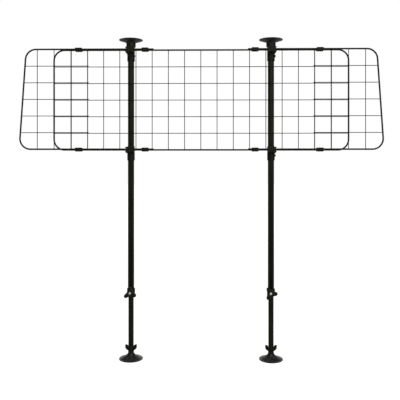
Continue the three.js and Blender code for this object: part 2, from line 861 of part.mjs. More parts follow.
// Wings, in front of the panel
const sides = [
  {
    name: "left",
    out: -1,
    outerClipPlace: leftOuterClipPlace,
    innerClipPlace: leftInnerClipPlace,
    knobTurn: leftKnobTurn,
    lobeAngle: leftLobeAngle,
    screwTurns: { top: leftTopScrewTurn, bottom: leftBottomScrewTurn },
  },
  {
    name: "right",
    out: 1,
    outerClipPlace: rightOuterClipPlace,
    innerClipPlace: rightInnerClipPlace,
    knobTurn: rightKnobTurn,
    lobeAngle: rightLobeAngle,
    screwTurns: { top: rightScrewTurn, bottom: rightScrewTurn },
  },
];
const rails = [
  { name: "top", height: panelTopHeight, meshSide: -1 },
  { name: "bottom", height: panelBottomHeight, meshSide: 1 },
];

for (const { name, out } of sides) {
  const wing = new THREE.Group();
  wing.position.set(0, wingDepth, panelBottomHeight + wingLift);
  wing.scale.x = out;
  wing.add(piece(`${name}_wing_frame`, wingFrame(), finishes.blackRod));
  wing.add(piece(`${name}_wing_wire_net`, wingNet(), finishes.blackRod));
  barrier.add(wing);
}

// Clips and brackets, on both rods of the panel
for (const side of sides) {
  for (const rail of rails) {
    const outerClip = piece(
      `${side.name}_${rail.name}_outer_clip`,
      clip(rail.meshSide),
      finishes.plastic,
    );
    outerClip.position.set(side.out * side.outerClipPlace, panelDepth, rail.height);
    const innerClip = piece(
      `${side.name}_${rail.name}_inner_clip`,
      clip(rail.meshSide),
      finishes.plastic,
    );
    innerClip.position.set(side.out * side.innerClipPlace, panelDepth, rail.height);
    const screwTurn = side.screwTurns[rail.name];
    const hook = piece(
      `${side.name}_${rail.name}_bracket`,
      bracket(side.out, screwTurn),
      finishes.plastic,
    );
    hook.position.set(side.out * poleOffset, 0, rail.height);
    const screwName = `${side.name}_${rail.name}_set_screw`;
    const screw = piece(screwName, setScrew(), finishes.blackSteel);
    screw.position.set(side.out * poleOffset, 0, rail.height - setScrewDrop);
    screw.rotation.z = screwTurn;
    barrier.add(outerClip, innerClip, hook, screw);
  }
}

// Poles, each with its clamp and its screw jack
for (const { name, out, knobTurn, lobeAngle } of sides) {
  const pole = new THREE.Group();
  pole.position.x = out * poleOffset;
  pole.add(piece(`${name}_upper_tube`, upperTube(knobTurn), finishes.blackTube));
  pole.add(piece(`${name}_top_pad`, topPad(), finishes.rubber));
  pole.add(piece(`${name}_clamp_collar`, collar(knobTurn), finishes.plastic));
  pole.add(piece(`${name}_lower_tube`, lowerTube(), finishes.blackTube));
  pole.add(piece(`${name}_lower_tube_cap`, lowerTubeCap(), finishes.plastic));
  pole.add(piece(`${name}_tube_end_plug`, tubeEndPlug(), finishes.plastic));
  pole.add(piece(`${name}_wing_nut`, wingNut(), finishes.plastic));
  pole.add(piece(`${name}_foot_stud`, footStud(), finishes.zinc));
  pole.add(piece(`${name}_foot_pad`, footPad(), finishes.rubber));
  const clamp = new THREE.Group();
  clamp.position.z = knobHeight;
  clamp.rotation.z = knobTurn;
  clamp.add(piece(`${name}_clamp_knob`, clampKnob(lobeAngle), finishes.plastic));
  clamp.add(piece(`${name}_clamp_screw`, clampScrew(), finishes.zinc));
  clamp.add(piece(`${name}_clamp_shoe`, clampShoe(), finishes.plastic));
  pole.add(clamp);
  barrier.add(pole);
}

export default barrier;
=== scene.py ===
# %% [markdown]
# # A cargo barrier, dressed for its portrait
# A cargo barrier is a welded wire panel with a sliding wing at each end. It hangs on two
# telescoping poles that are braced between a vehicle's floor and its roof. This lesson loads the
# plain engineering model, which fixes every size and place, and builds the looks round it: bent
# rods and welded nets, moulded clips and brackets, painted tubes, rubber pads and plated screws.

# %% Load the engineering model
import json
import math

import bmesh
import bpy
from mathutils import Matrix, Vector


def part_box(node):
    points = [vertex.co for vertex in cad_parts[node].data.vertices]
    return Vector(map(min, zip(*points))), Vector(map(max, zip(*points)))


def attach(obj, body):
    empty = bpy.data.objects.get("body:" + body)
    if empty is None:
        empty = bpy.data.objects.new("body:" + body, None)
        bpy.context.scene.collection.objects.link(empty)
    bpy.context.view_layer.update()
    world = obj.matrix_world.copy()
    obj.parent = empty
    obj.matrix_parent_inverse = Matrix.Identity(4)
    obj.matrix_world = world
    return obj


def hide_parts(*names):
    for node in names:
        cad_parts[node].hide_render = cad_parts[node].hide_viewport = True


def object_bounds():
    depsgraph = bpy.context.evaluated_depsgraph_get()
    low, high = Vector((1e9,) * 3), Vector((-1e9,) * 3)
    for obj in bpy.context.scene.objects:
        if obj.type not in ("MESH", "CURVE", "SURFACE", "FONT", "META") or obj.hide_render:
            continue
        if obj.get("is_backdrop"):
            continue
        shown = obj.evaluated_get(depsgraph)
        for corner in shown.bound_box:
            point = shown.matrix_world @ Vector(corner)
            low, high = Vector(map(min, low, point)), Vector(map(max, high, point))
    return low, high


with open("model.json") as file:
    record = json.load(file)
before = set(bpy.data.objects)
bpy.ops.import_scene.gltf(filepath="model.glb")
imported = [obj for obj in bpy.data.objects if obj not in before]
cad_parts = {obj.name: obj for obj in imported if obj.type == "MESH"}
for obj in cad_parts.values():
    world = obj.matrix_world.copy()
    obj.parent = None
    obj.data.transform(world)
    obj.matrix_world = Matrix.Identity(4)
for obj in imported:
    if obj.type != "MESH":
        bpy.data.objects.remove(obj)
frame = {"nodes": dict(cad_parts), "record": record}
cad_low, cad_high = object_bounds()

# %% [markdown]
# ## Where things are
# Nothing is placed by eye. The boxes of the loaded pieces say where the rods, poles and pads lie,
# in metres. +X is to the right, -Y is the front and +Z is up. Only what a box can't tell, such as
# a bend's radius or a wall, is a named value, written where it is first needed.

# %% Read the places and sizes
bodies = frame["record"]["behaviour"]["bodies"]
body_of = {node: body for body, nodes in bodies.items() for node in nodes}
sides = {"left": -1, "right": 1}
rails = ("top", "bottom")


def middle(node):
    low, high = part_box(node)
    return (low + high) / 2


def half_width(node):
    low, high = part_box(node)
    return (high.x - low.x) / 2


panel_low, panel_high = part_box("center_frame")
rod_radius = (panel_high.y - panel_low.y) / 2
panel_y = middle("center_frame").y
rail_height = {"top": panel_high.z - rod_radius, "bottom": panel_low.z + rod_radius}
panel_height = rail_height["top"] - rail_height["bottom"]
panel_half_width = panel_high.x - rod_radius

wing_y = middle("right_wing_frame").y
wing_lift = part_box("right_wing_frame")[0].z - panel_low.z
wing_stack = panel_y - wing_y

pole_x = {side: middle(f"{side}_upper_tube").x for side in sides}
upper_tube_radius = half_width("left_upper_tube")
lower_tube_radius = half_width("left_lower_tube")
fit_gap = 0.0003
tube_bore = lower_tube_radius + fit_gap
sleeve_bore = upper_tube_radius + fit_gap
print(f"rods of {2000 * rod_radius:.1f} mm, tubes of {2000 * upper_tube_radius:.0f} and"
      f" {2000 * lower_tube_radius:.0f} mm, panel {1000 * panel_height:.0f} mm high")

# %% [markdown]
# ## The camera
# The picture was taken level, from in front of the panel's middle, so the upright rods stay
# parallel. A level camera shows the floor far below the middle, and that is what lens shift is
# for: it slides the picture down without tilting the camera. The distance follows from how much
# smaller the panel looks than the brackets in front of it. The right-hand pole looks a trace
# larger than the left one, so the camera stood a little to the right, turned back towards the
# middle.

# %% Set up the camera
camera_distance = 1.761
camera_height = 0.6063
camera_turn = math.radians(0.8)
film_width_mm = 36
focal_length_mm = 51.5

camera_data = bpy.data.cameras.new("portrait")
camera_data.sensor_width = film_width_mm
camera_data.lens = focal_length_mm
camera_data.shift_x = -0.0022
camera_data.shift_y = -0.095
camera = bpy.data.objects.new("portrait", camera_data)
camera.location = (
    camera_distance * math.sin(camera_turn),
    -camera_distance * math.cos(camera_turn),
    camera_height,
)
camera.rotation_euler = (math.pi / 2, 0, camera_turn)
bpy.context.scene.collection.objects.link(camera)
bpy.context.scene.camera = camera
bpy.context.scene.view_settings.view_transform = "Standard"
print("camera", camera_distance, "m in front,", camera_height, "m up")

# %% [markdown]
# ## Building node trees with few words
# A material, a shader group and a Geometry Nodes tree are all made of nodes and links. `add_node`
# adds one node, sets its options, and fills each input either with a number or with a link from
# another node's output. `calculate` is the same for one step of arithmetic. The trees below then
# read from top to bottom like a recipe.


# %% Helpers for nodes
def add_node(tree, kind, inputs=None, **options):
    node = tree.nodes.new(kind)
    for option, value in options.items():
        setattr(node, option, value)
    for socket, value in (inputs or {}).items():
        if isinstance(value, bpy.types.NodeSocket):
            tree.links.new(value, node.inputs[socket])
        else:
            node.inputs[socket].default_value = value
    return node


def calculate(tree, operation, *values, clamp=False):
    inputs = dict(enumerate(values))
    return add_node(tree, "ShaderNodeMath", inputs, operation=operation, use_clamp=clamp).outputs[0]


print("node helpers ready")

# %% [markdown]
# A group of nodes has sockets of its own on the outside: inputs, each with a name, a kind and a
# starting value, and outputs. `new_group` makes a tree with them and hands back both ends.

# %% A helper for groups and trees
number = "NodeSocketFloat"
count = "NodeSocketInt"
direction = "NodeSocketVector"
shape = "NodeSocketGeometry"
surface = "NodeSocketMaterial"


def new_group(name, kind, inputs, outputs):
    tree = bpy.data.node_groups.new(name, kind)
    for label, socket_type, default in inputs:
        socket = tree.interface.new_socket(label, in_out="INPUT", socket_type=socket_type)
        if default is not None:
            socket.default_value = default
    for label, socket_type in outputs:
        tree.interface.new_socket(label, in_out="OUTPUT", socket_type=socket_type)
    given = tree.nodes.new("NodeGroupInput").outputs
    result = tree.nodes.new("NodeGroupOutput").inputs
    return tree, given, result


print("group helper ready")

# %% [markdown]
# ## Shared surface effects
# Every finish on the barrier, the plated screws apart, is almost black. What tells them apart is
# fine: the orange peel of a powder coat, the grain of a moulded part, the haze on rubber, a paler
# tone where an edge has rubbed. Each effect is a shader node group, built once and placed in
# every material with that material's own numbers. The patterns read object coordinates, in
# metres, so their size is a real size.


# %% Patterns with a real size
def object_place(tree):
    return add_node(tree, "ShaderNodeTexCoord").outputs["Object"]


def speckle(tree, place, size, detail, roughness):
    frequency = calculate(tree, "DIVIDE", 1.0, size)
    return add_node(
        tree, "ShaderNodeTexNoise",
        {"Vector": place, "Scale": frequency, "Detail": detail, "Roughness": roughness},
    ).outputs[0]


def ramp(tree, value, start, end, low=0.0, high=1.0, kind="SMOOTHSTEP"):
    return add_node(
        tree, "ShaderNodeMapRange",
        {"Value": value, "From Min": start, "From Max": end, "To Min": low, "To Max": high},
        interpolation_type=kind,
    ).outputs[0]


print("speckle and ramp ready")

# %% [markdown]
# No coat is quite flat. Relief is a height made of noise, which a Bump node turns into small
# hills. It can be stretched along one axis, for the fine lines along a drawn tube.


# %% Effect: fine relief
def make_relief():
    tree, given, result = new_group(
        "fine_relief", "ShaderNodeTree",
        [("Size", number, 0.001), ("Stretch", direction, (1, 1, 1)), ("Roundness", number, 0.5)],
        [("Height", number)],
    )
    stretched = add_node(
        tree, "ShaderNodeVectorMath", {0: object_place(tree), 1: given["Stretch"]},
        operation="MULTIPLY",
    ).outputs[0]
    hills = speckle(tree, stretched, given["Size"], detail=2.0, roughness=given["Roundness"])
    tree.links.new(hills, result["Height"])
    return tree


fine_relief = make_relief()
print("effect:", fine_relief.name)

# %% [markdown]
# Paint is never quite one colour over a whole tube. A soft noise mask lets two close colours and
# two close roughnesses share a surface, in patches as large as the material asks for.


# %% Effect: cloudy patches
def make_patches():
    tree, given, result = new_group(
        "cloudy_patches", "ShaderNodeTree",
        [("Size", number, 0.02), ("Low", number, 0.4), ("High", number, 0.65)],
        [("Mask", number)],
    )
    clouds = speckle(tree, object_place(tree), given["Size"], detail=4.0, roughness=0.6)
    tree.links.new(ramp(tree, clouds, given["Low"], given["High"]), result["Mask"])
    return tree


cloudy_patches = make_patches()
print("effect:", cloudy_patches.name)

# %% [markdown]
# Rounded edges are where paint thins and hands rub. Turned and moulded pieces carry a `wear`
# attribute that is one on their rounded outer edges and zero elsewhere. Rods and wires have no
# such edge and carry none. This group breaks the attribute up with noise, so that the wear comes
# and goes along an edge as it does on a used part.


# %% Effect: rubbed edges
def make_rubbed_edges():
    tree, given, result = new_group(
        "rubbed_edges", "ShaderNodeTree",
        [("Amount", number, 0.5), ("Break Up", number, 0.004)],
        [("Mask", number)],
    )
    least_rubbed = 0.85
    contrast = 5.0
    edge = add_node(tree, "ShaderNodeAttribute", attribute_name="wear").outputs["Fac"]
    breaks = speckle(tree, object_place(tree), given["Break Up"], detail=3.0, roughness=0.65)
    threshold = calculate(tree, "SUBTRACT", least_rubbed, given["Amount"])
    raised = calculate(tree, "SUBTRACT", breaks, threshold)
    broken = calculate(tree, "MULTIPLY", raised, contrast, clamp=True)
    tree.links.new(calculate(tree, "MULTIPLY", broken, edge), result["Mask"])
    return tree


rubbed_edges = make_rubbed_edges()
print("effect:", rubbed_edges.name)

# %% [markdown]
# Dust settles on what faces up, and rubber grows a grey bloom on its broad faces, undersides too.
# Both come from the surface's own normal: this group is one where the surface lies level and zero
# on upright walls, broken up in patches. Its `Under` input says how much undersides count.


# %% Effect: dust and bloom on level faces
def make_level_haze():
    tree, given, result = new_group(
        "level_haze", "ShaderNodeTree",
        [("Size", number, 0.01), ("Under", number, 0.0)],
        [("Mask", number)],
    )
    sloping, level = 0.35, 0.95
    bare, dusty = 0.38, 0.68
    normal = add_node(tree, "ShaderNodeNewGeometry").outputs["Normal"]
    upward = add_node(tree, "ShaderNodeSeparateXYZ", {0: normal}).outputs["Z"]
    downward = calculate(tree, "MULTIPLY", upward, -1.0)
    underside = calculate(tree, "MULTIPLY", downward, given["Under"])
    levelness = ramp(tree, calculate(tree, "MAXIMUM", upward, underside), sloping, level)
    grains = speckle(tree, object_place(tree), given["Size"], detail=5.0, roughness=0.7)
    patchy = ramp(tree, grains, bare, dusty, kind="LINEAR")
    tree.links.new(calculate(tree, "MULTIPLY", levelness, patchy), result["Mask"])
    return tree


level_haze = make_level_haze()
print("shared effects:", ", ".join(group.name for group in bpy.data.node_groups))

# %% [markdown]
# ## Finishes
# All seven finishes are one recipe with different numbers: a base colour that drifts a little in
# patches, a second colour where edges are rubbed, a haze on level faces, a roughness that follows
# all three, and two scales of relief. Numbers that hold all over a surface sit on the shader
# itself.

# %% The recipe for a finish
haze_dulls = 0.25
rubbing_polishes = 0.12
finishes = []


def use_effect(tree, group, values):
    node = tree.nodes.new("ShaderNodeGroup")
    node.node_tree = group
    for label, value in values.items():
        node.inputs[label].default_value = value
    return node.outputs[0]


def blend_colours(tree, mask, first, second):
    first, second = (value if isinstance(value, bpy.types.NodeSocket) else (*value, 1)
                     for value in (first, second))
    inputs = {0: mask, 6: first, 7: second}
    return add_node(tree, "ShaderNodeMix", inputs, data_type="RGBA").outputs[2]


def make_finish(name, base, drift, rubbed, haze, roughness, relief, metallic=0.0, specular=0.5,
                patch_size=0.03, rub=0.35, rub_size=0.004, haze_size=0.01, haze_under=0.0,
                haze_strength=0.5):
    material = bpy.data.materials.new(name)
    material.use_nodes = True
    tree = material.node_tree
    shader = tree.nodes["Principled BSDF"]
    patches = use_effect(tree, cloudy_patches, {"Size": patch_size})
    edges = use_effect(tree, rubbed_edges, {"Amount": rub, "Break Up": rub_size})
    settled = use_effect(tree, level_haze, {"Size": haze_size, "Under": haze_under})
    settled = calculate(tree, "MULTIPLY", settled, haze_strength)
    painted = blend_colours(tree, patches, base, drift)
    hazy = blend_colours(tree, settled, painted, haze)
    tree.links.new(blend_colours(tree, edges, hazy, rubbed), shader.inputs["Base Color"])

    smooth, rough = roughness
    patchy = calculate(tree, "MULTIPLY_ADD", patches, rough - smooth, smooth)
    dull = calculate(tree, "MULTIPLY_ADD", settled, haze_dulls, patchy)
    polished = calculate(tree, "MULTIPLY_ADD", edges, -rubbing_polishes, dull, clamp=True)
    tree.links.new(polished, shader.inputs["Roughness"])

    normal = None
    for size, depth, stretch in relief:
        height = use_effect(tree, fine_relief, {"Size": size, "Stretch": stretch})
        inputs = {"Height": height, "Distance": depth, "Strength": 1.0}
        bump = add_node(tree, "ShaderNodeBump", inputs)
        if normal is not None:
            tree.links.new(normal, bump.inputs["Normal"])
        normal = bump.outputs["Normal"]
    tree.links.new(normal, shader.inputs["Normal"])
    shader.inputs["Metallic"].default_value = metallic
    shader.inputs["Specular IOR Level"].default_value = specular
    finishes.append(name)
    return material


print("effects that each finish uses:", len(bpy.data.node_groups))

# %% [markdown]
# The numbers below are read off the picture. Everything is close to black, with a trace of olive
# in the paint. Rods, tubes and mouldings reflect little, the pads' rubber is greyer on its broad
# faces, and smoother on the feet, which mirror the white paper behind them. The set screws are
# blackened. Only the clamp screws, and the jack studs hidden in the tubes, are plated and bright.

# %% Mix the seven finishes
even = (1, 1, 1)
rod_coat = make_finish(
    "rod_powder_coat", base=(0.0060, 0.0060, 0.0032), drift=(0.0095, 0.0095, 0.0060),
    rubbed=(0.035, 0.035, 0.028), haze=(0.030, 0.030, 0.024), roughness=(0.42, 0.54),
    relief=[(0.0011, 0.00003, even), (0.00035, 0.00001, even)], specular=0.14,
    patch_size=0.06, rub=0.3, haze_strength=0.22,
)
tube_paint = make_finish(
    "tube_enamel", base=(0.0100, 0.0092, 0.0036), drift=(0.0138, 0.0129, 0.0066),
    rubbed=(0.06, 0.06, 0.05), haze=(0.03, 0.03, 0.024), roughness=(0.36, 0.46),
    relief=[(0.0016, 0.00003, even), (0.0005, 0.000012, (1, 1, 0.03))], specular=0.09,
    patch_size=0.05, rub=0.5, haze_strength=0.2,
)
moulded_black = make_finish(
    "moulded_black", base=(0.0078, 0.0072, 0.0032), drift=(0.0120, 0.0114, 0.0064),
    rubbed=(0.045, 0.045, 0.038), haze=(0.035, 0.035, 0.029), roughness=(0.50, 0.62),
    relief=[(0.0006, 0.00004, even), (0.0045, 0.00008, even)], specular=0.09,
    patch_size=0.012, rub=0.42, rub_size=0.003, haze_strength=0.25,
)
pad_rubber = make_finish(
    "pad_rubber", base=(0.0055, 0.0055, 0.0045), drift=(0.0110, 0.0110, 0.0090),
    rubbed=(0.004, 0.004, 0.003), haze=(0.060, 0.062, 0.058), roughness=(0.5, 0.62),
    relief=[(0.0009, 0.00006, even), (0.006, 0.00015, even)], specular=0.25,
    patch_size=0.015, rub=0.5, haze_size=0.009, haze_under=1.0, haze_strength=0.7,
)
foot_rubber = make_finish(
    "foot_rubber", base=(0.0055, 0.0055, 0.0040), drift=(0.0100, 0.0100, 0.0080),
    rubbed=(0.004, 0.004, 0.003), haze=(0.085, 0.088, 0.082), roughness=(0.26, 0.38),
    relief=[(0.0009, 0.00003, even), (0.006, 0.00010, even)], specular=0.24,
    patch_size=0.015, rub=0.5, haze_size=0.009, haze_strength=0.35,
)
black_steel = make_finish(
    "black_steel", base=(0.018, 0.018, 0.015), drift=(0.030, 0.030, 0.025),
    rubbed=(0.12, 0.12, 0.11), haze=(0.04, 0.04, 0.035), roughness=(0.34, 0.46),
    relief=[(0.0010, 0.00002, even), (0.0003, 0.00001, even)], metallic=0.6, specular=0.3,
    patch_size=0.003, rub=0.35, rub_size=0.002, haze_strength=0.2,
)
bright_zinc = make_finish(
    "bright_zinc", base=(0.52, 0.52, 0.49), drift=(0.60, 0.595, 0.55),
    rubbed=(0.68, 0.68, 0.66), haze=(0.36, 0.36, 0.34), roughness=(0.30, 0.44),
    relief=[(0.0012, 0.00002, even), (0.0004, 0.00001, (1, 0.2, 1))], metallic=1.0,
    patch_size=0.004, rub=0.4, rub_size=0.002, haze_strength=0.2,
)
print("finishes:", ", ".join(finishes))

# %% [markdown]
# ## Small tools for shapes
# Most pieces start as an outline with rounded corners. A corner is given as a point and a radius,
# and `rounded` replaces it with an arc. The outline runs anticlockwise, so an arc that turns left
# is an outer edge, and it is marked as one that can wear. `rectangle` lists the corners of the
# commonest outline.

# %% Rounded outlines
arc_steps = 5


def rounded(corners, closed=False, steps=arc_steps):
    points = []
    total = len(corners)
    for i, (x, y, radius) in enumerate(corners):
        here = Vector((x, y))
        if radius == 0 or (not closed and i in (0, total - 1)):
            points.append((x, y, False))
            continue
        arriving = (here - Vector(corners[i - 1][:2])).normalized()
        leaving = (Vector(corners[(i + 1) % total][:2]) - here).normalized()
        cross = arriving.x * leaving.y - arriving.y * leaving.x
        turn = math.atan2(cross, arriving.dot(leaving))
        start = here - arriving * radius * math.tan(abs(turn) / 2)
        inward = Vector((-arriving.y, arriving.x)) * math.copysign(radius, turn)
        for step in range(steps + 1):
            angle = turn * step / steps
            spoke = Matrix.Rotation(angle, 2) @ -inward
            point = start + inward + spoke
            points.append((point.x, point.y, turn > 0 and step < steps))
    return points


def rectangle(left, low, right, high, radius=0):
    return [(left, low, radius), (right, low, radius), (right, high, radius), (left, high, radius)]


print("points in a rounded corner:", arc_steps + 1)

# %% [markdown]
# Two ways to give an outline a body. `lathe` spins it round an upright axis, for tubes, pads and
# screws, and `turned` rounds the corners of the profile first. `prism` gives an outline a
# straight depth along one axis. Both make closed meshes, with their faces turned outwards at the
# end.

# %% Lathes and prisms
on_axis = 1e-7


def new_piece(name, mesh):
    data = bpy.data.meshes.new(name)
    bmesh.ops.recalc_face_normals(mesh, faces=mesh.faces)
    mesh.to_mesh(data)
    mesh.free()
    data.polygons.foreach_set("use_smooth", [True] * len(data.polygons))
    piece = bpy.data.objects.new(name, data)
    bpy.context.scene.collection.objects.link(piece)
    return piece


def lathe(name, profile, closed=False, around=72):
    mesh = bmesh.new()
    wear = mesh.faces.layers.float.new("wear")
    rings = []
    for radius, height, _ in profile:
        if radius < on_axis:
            rings.append([mesh.verts.new((0, 0, height))])
            continue
        turns = [2 * math.pi * k / around for k in range(around)]
        rings.append([
            mesh.verts.new((radius * math.cos(t), radius * math.sin(t), height)) for t in turns])
    pairs = list(zip(rings, rings[1:]))
    if closed:
        pairs.append((rings[-1], rings[0]))
    for (lower, upper), (_, _, worn) in zip(pairs, profile):
        for k in range(around):
            following = (k + 1) % around
            ends = [lower[k % len(lower)], lower[following % len(lower)],
                    upper[following % len(upper)], upper[k % len(upper)]]
            corners = list(dict.fromkeys(ends))
            if len(corners) > 2:
                mesh.faces.new(corners)[wear] = float(worn)
    return new_piece(name, mesh)


def prism(name, outline, near, far, axis):
    place = {
        "X": lambda a, b, depth: (depth, a, b),
        "Y": lambda a, b, depth: (a, depth, b),
        "Z": lambda a, b, depth: (a, b, depth),
    }[axis]
    mesh = bmesh.new()
    ends = [[mesh.verts.new(place(a, b, depth)) for a, b, _ in outline] for depth in (near, far)]
    mesh.faces.new(ends[0])
    mesh.faces.new(ends[1])
    total = len(outline)
    for k in range(total):
        following = (k + 1) % total
        mesh.faces.new([ends[0][k], ends[0][following], ends[1][following], ends[1][k]])
    return new_piece(name, mesh)


def turned(name, corners, closed=False, around=72, steps=arc_steps):
    """A lathe piece whose profile has rounded corners."""
    profile = rounded(corners, closed=closed, steps=steps)
    return lathe(name, profile, closed=closed, around=around)


print("lathe and prism ready")

# %% [markdown]
# A box, a pin and a post are special outlines. Most of them are cutters: they pass through a
# solid to leave a slot or a bore, so they run a little past it at both ends.


# %% Boxes, pins and posts
def block(name, low, high):
    return prism(name, rectangle(low[0], low[2], high[0], high[2]), low[1], high[1], "Y")


def pin(name, radius, near, far, around=48):
    """A pin that points forward, to -Y."""
    piece = lathe(name, rectangle(0, near, radius, far), around=around)
    piece.data.transform(Matrix.Rotation(math.pi / 2, 4, "X"))
    return piece


def post(name, radius, low, high, around=72):
    return lathe(name, rectangle(0, low, radius, high), around=around)


print("box, pin and post ready")

# %% [markdown]
# Modifiers are recipes too. `settle` runs the ones on a piece and keeps the result as a plain
# mesh. With a boolean modifier `join` adds solids together, `cut` takes some from another, and
# `overlap` keeps what two have in common.


# %% Settle, join, cut and move
def settle(piece):
    graph = bpy.context.evaluated_depsgraph_get()
    made = bpy.data.meshes.new_from_object(piece.evaluated_get(graph))
    old = piece.data
    piece.modifiers.clear()
    piece.data = made
    bpy.data.meshes.remove(old)
    return piece


def combine(base, others, operation):
    for other in others:
        modifier = base.modifiers.new("solid", "BOOLEAN")
        modifier.operation = operation
        modifier.solver = "MANIFOLD"
        modifier.object = other
    settle(base)
    for other in others:
        bpy.data.objects.remove(other)
    return base


def join(base, *others):
    return combine(base, others, "UNION")


def cut(base, *others):
    return combine(base, others, "DIFFERENCE")


def overlap(base, other):
    return combine(base, [other], "INTERSECT")


def moved(piece, *steps):
    for matrix in steps:
        piece.data.transform(matrix)
    return piece


def shift(x=0.0, y=0.0, z=0.0):
    return Matrix.Translation((x, y, z))


def turn(angle, axis="Z"):
    return Matrix.Rotation(angle, 4, axis)


def copy_of(piece, name):
    twin = bpy.data.objects.new(name, piece.data.copy())
    bpy.context.scene.collection.objects.link(twin)
    return twin


print("pieces can be joined, cut and moved")

# %% [markdown]
# A moulded part has no sharp edge and no sharp inner corner: the tool that made it was rounded
# everywhere. A voxel remesh does the same to a solid that was joined from sharp ones. It rebuilds
# the skin from even little squares, and a few rounds of smoothing melt each edge to a small
# radius. The even mesh also makes it easy to find the outer edges, where neighbouring faces fold
# away from each other, and to mark them as worn.

# %% Melt a solid into a moulding
mould_voxel = 0.0004
mould_smoothing = 6
wear_from = math.radians(5)
wear_full = math.radians(16)


def mark_wear(piece):
    mesh = bmesh.new()
    mesh.from_mesh(piece.data)
    wear = mesh.verts.layers.float.new("wear")
    for vertex in mesh.verts:
        folds = [edge.calc_face_angle_signed(0.0) for edge in vertex.link_edges]
        fold = sum(folds) / max(len(folds), 1)
        vertex[wear] = min(max((fold - wear_from) / (wear_full - wear_from), 0.0), 1.0)
    mesh.to_mesh(piece.data)
    mesh.free()
    return piece


def moulded(piece, voxel=mould_voxel, smoothing=mould_smoothing):
    remesh = piece.modifiers.new("skin", "REMESH")
    remesh.mode = "VOXEL"
    remesh.voxel_size = voxel
    remesh.use_smooth_shade = True
    smooth = piece.modifiers.new("melt", "SMOOTH")
    smooth.factor = 0.5
    smooth.iterations = smoothing
    settle(piece)
    return mark_wear(piece)


print(f"a moulding's skin is rebuilt in squares of {1000 * mould_voxel:.2f} mm")

# %% [markdown]
# The last step for every piece is the same: it gets its finish, stands in for one engineering
# piece, and rides on that piece's body, so that it moves when the joint does.

# %% Hand a finished piece over
finished = []


def dress(piece, node, material):
    piece.data.materials.clear()
    piece.data.materials.append(material)
    piece.data.polygons.foreach_set("material_index", [0] * len(piece.data.polygons))
    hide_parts(node)
    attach(piece, body_of[node])
    finished.append(piece)
    return piece


def show(kind, number_of_pieces):
    for piece in finished[-number_of_pieces:]:
        print(kind, piece.name, "has", len(piece.data.polygons), "faces")


print("pieces to dress:", len(body_of))

# %% [markdown]
# ## Steps that the trees share
# Rods, nets and threads follow rules, so each is grown from a Geometry Nodes tree, and those
# trees have some steps in common. `sweep` runs a round section along a path. `made_real` turns
# copies into real faces, and `paint` gives the finish and closes the tree.


# %% Steps that the trees share
def sweep(tree, curve, around, radius):
    section = add_node(
        tree, "GeometryNodeCurvePrimitiveCircle", {"Resolution": around, "Radius": radius}
    ).outputs[0]
    return add_node(
        tree, "GeometryNodeCurveToMesh",
        {"Curve": curve, "Profile Curve": section, "Fill Caps": True},
    ).outputs[0]


def made_real(tree, copies):
    return add_node(tree, "GeometryNodeRealizeInstances", {0: copies}).outputs[0]


def paint(tree, given, result, skin):
    painted = add_node(
        tree, "GeometryNodeSetMaterial",
        {"Geometry": made_real(tree, skin), "Material": given["Finish"]},
    ).outputs[0]
    tree.links.new(painted, result["Geometry"])
    return tree


print("tree helpers ready")

# %% [markdown]
# ## Bent rods
# The panel's rim and each wing are one steel rod bent cold round a former, so every corner has
# the same radius. Geometry Nodes can follow the same rule: take a path with sharp corners, fillet
# them, and sweep a round section along it. One tree makes all three rods.


# %% The bent rod tree
def make_bent_rod():
    tree, given, result = new_group(
        "bent_rod", "GeometryNodeTree",
        [("Path", shape, None), ("Bend Radius", number, 0.03), ("Rod Radius", number, 0.0025),
         ("Steps in a Bend", count, 12), ("Around", count, 20), ("Finish", surface, None)],
        [("Geometry", shape)],
    )
    line = add_node(tree, "GeometryNodeMeshToCurve", {"Mesh": given["Path"]}).outputs[0]
    bent = add_node(
        tree, "GeometryNodeFilletCurve",
        {"Curve": line, "Radius": given["Bend Radius"], "Count": given["Steps in a Bend"]},
        mode="POLY",
    ).outputs[0]
    rod = sweep(tree, bent, given["Around"], given["Rod Radius"])
    return paint(tree, given, result, rod)


bent_rod = make_bent_rod()
print("tree:", bent_rod.name)

# %% [markdown]
# A tree does nothing until a modifier runs it on an object. `grow` adds that modifier, fills its
# named inputs and keeps the result as a plain mesh, so that no modifier is left on the piece. A
# path is a mesh of points and edges, which the tree turns into a curve.


# %% Grow a piece from a tree
def grow(name, tree, values, start=None):
    data = start or bpy.data.meshes.new(name)
    piece = bpy.data.objects.new(name, data)
    bpy.context.scene.collection.objects.link(piece)
    modifier = piece.modifiers.new("grow", "NODES")
    modifier.node_group = tree
    for item in tree.interface.items_tree:
        if item.in_out == "INPUT" and item.name in values:
            modifier[item.identifier] = values[item.name]
    settle(piece)
    piece.data.polygons.foreach_set("use_smooth", [True] * len(piece.data.polygons))
    return piece


def path_mesh(points, closed):
    data = bpy.data.meshes.new("path")
    edges = [(k, k + 1) for k in range(len(points) - 1)]
    if closed:
        edges.append((len(points) - 1, 0))
    data.from_pydata(points, edges, [])
    return data


print("grow and path_mesh ready")

# %% [markdown]
# The panel's rim is a closed rectangle. A wing is open: its two arms end in mid air in front of
# the panel, and its side leans, because the lower arm reaches further than the upper one. The saw
# cut at an arm's end gets a small bevel, which is all that paint and handling leave of it.

# %% Bend the panel's rim and the wings
cold_bend = 0.032
wing_reach = {"top": 0.5335, "bottom": 0.5549}
saw_cut_bevel = 0.0007


def bend_rod(name, corners, closed):
    values = {"Bend Radius": cold_bend, "Rod Radius": rod_radius, "Finish": rod_coat}
    return grow(name, bent_rod, values, path_mesh(corners, closed))


def bevelled(piece, fold, width, segments):
    """Round every edge that folds by more than so many degrees."""
    modifier = piece.modifiers.new("bevel", "BEVEL")
    modifier.limit_method = "ANGLE"
    modifier.angle_limit = math.radians(fold)
    modifier.width = width
    modifier.segments = segments
    return settle(piece)


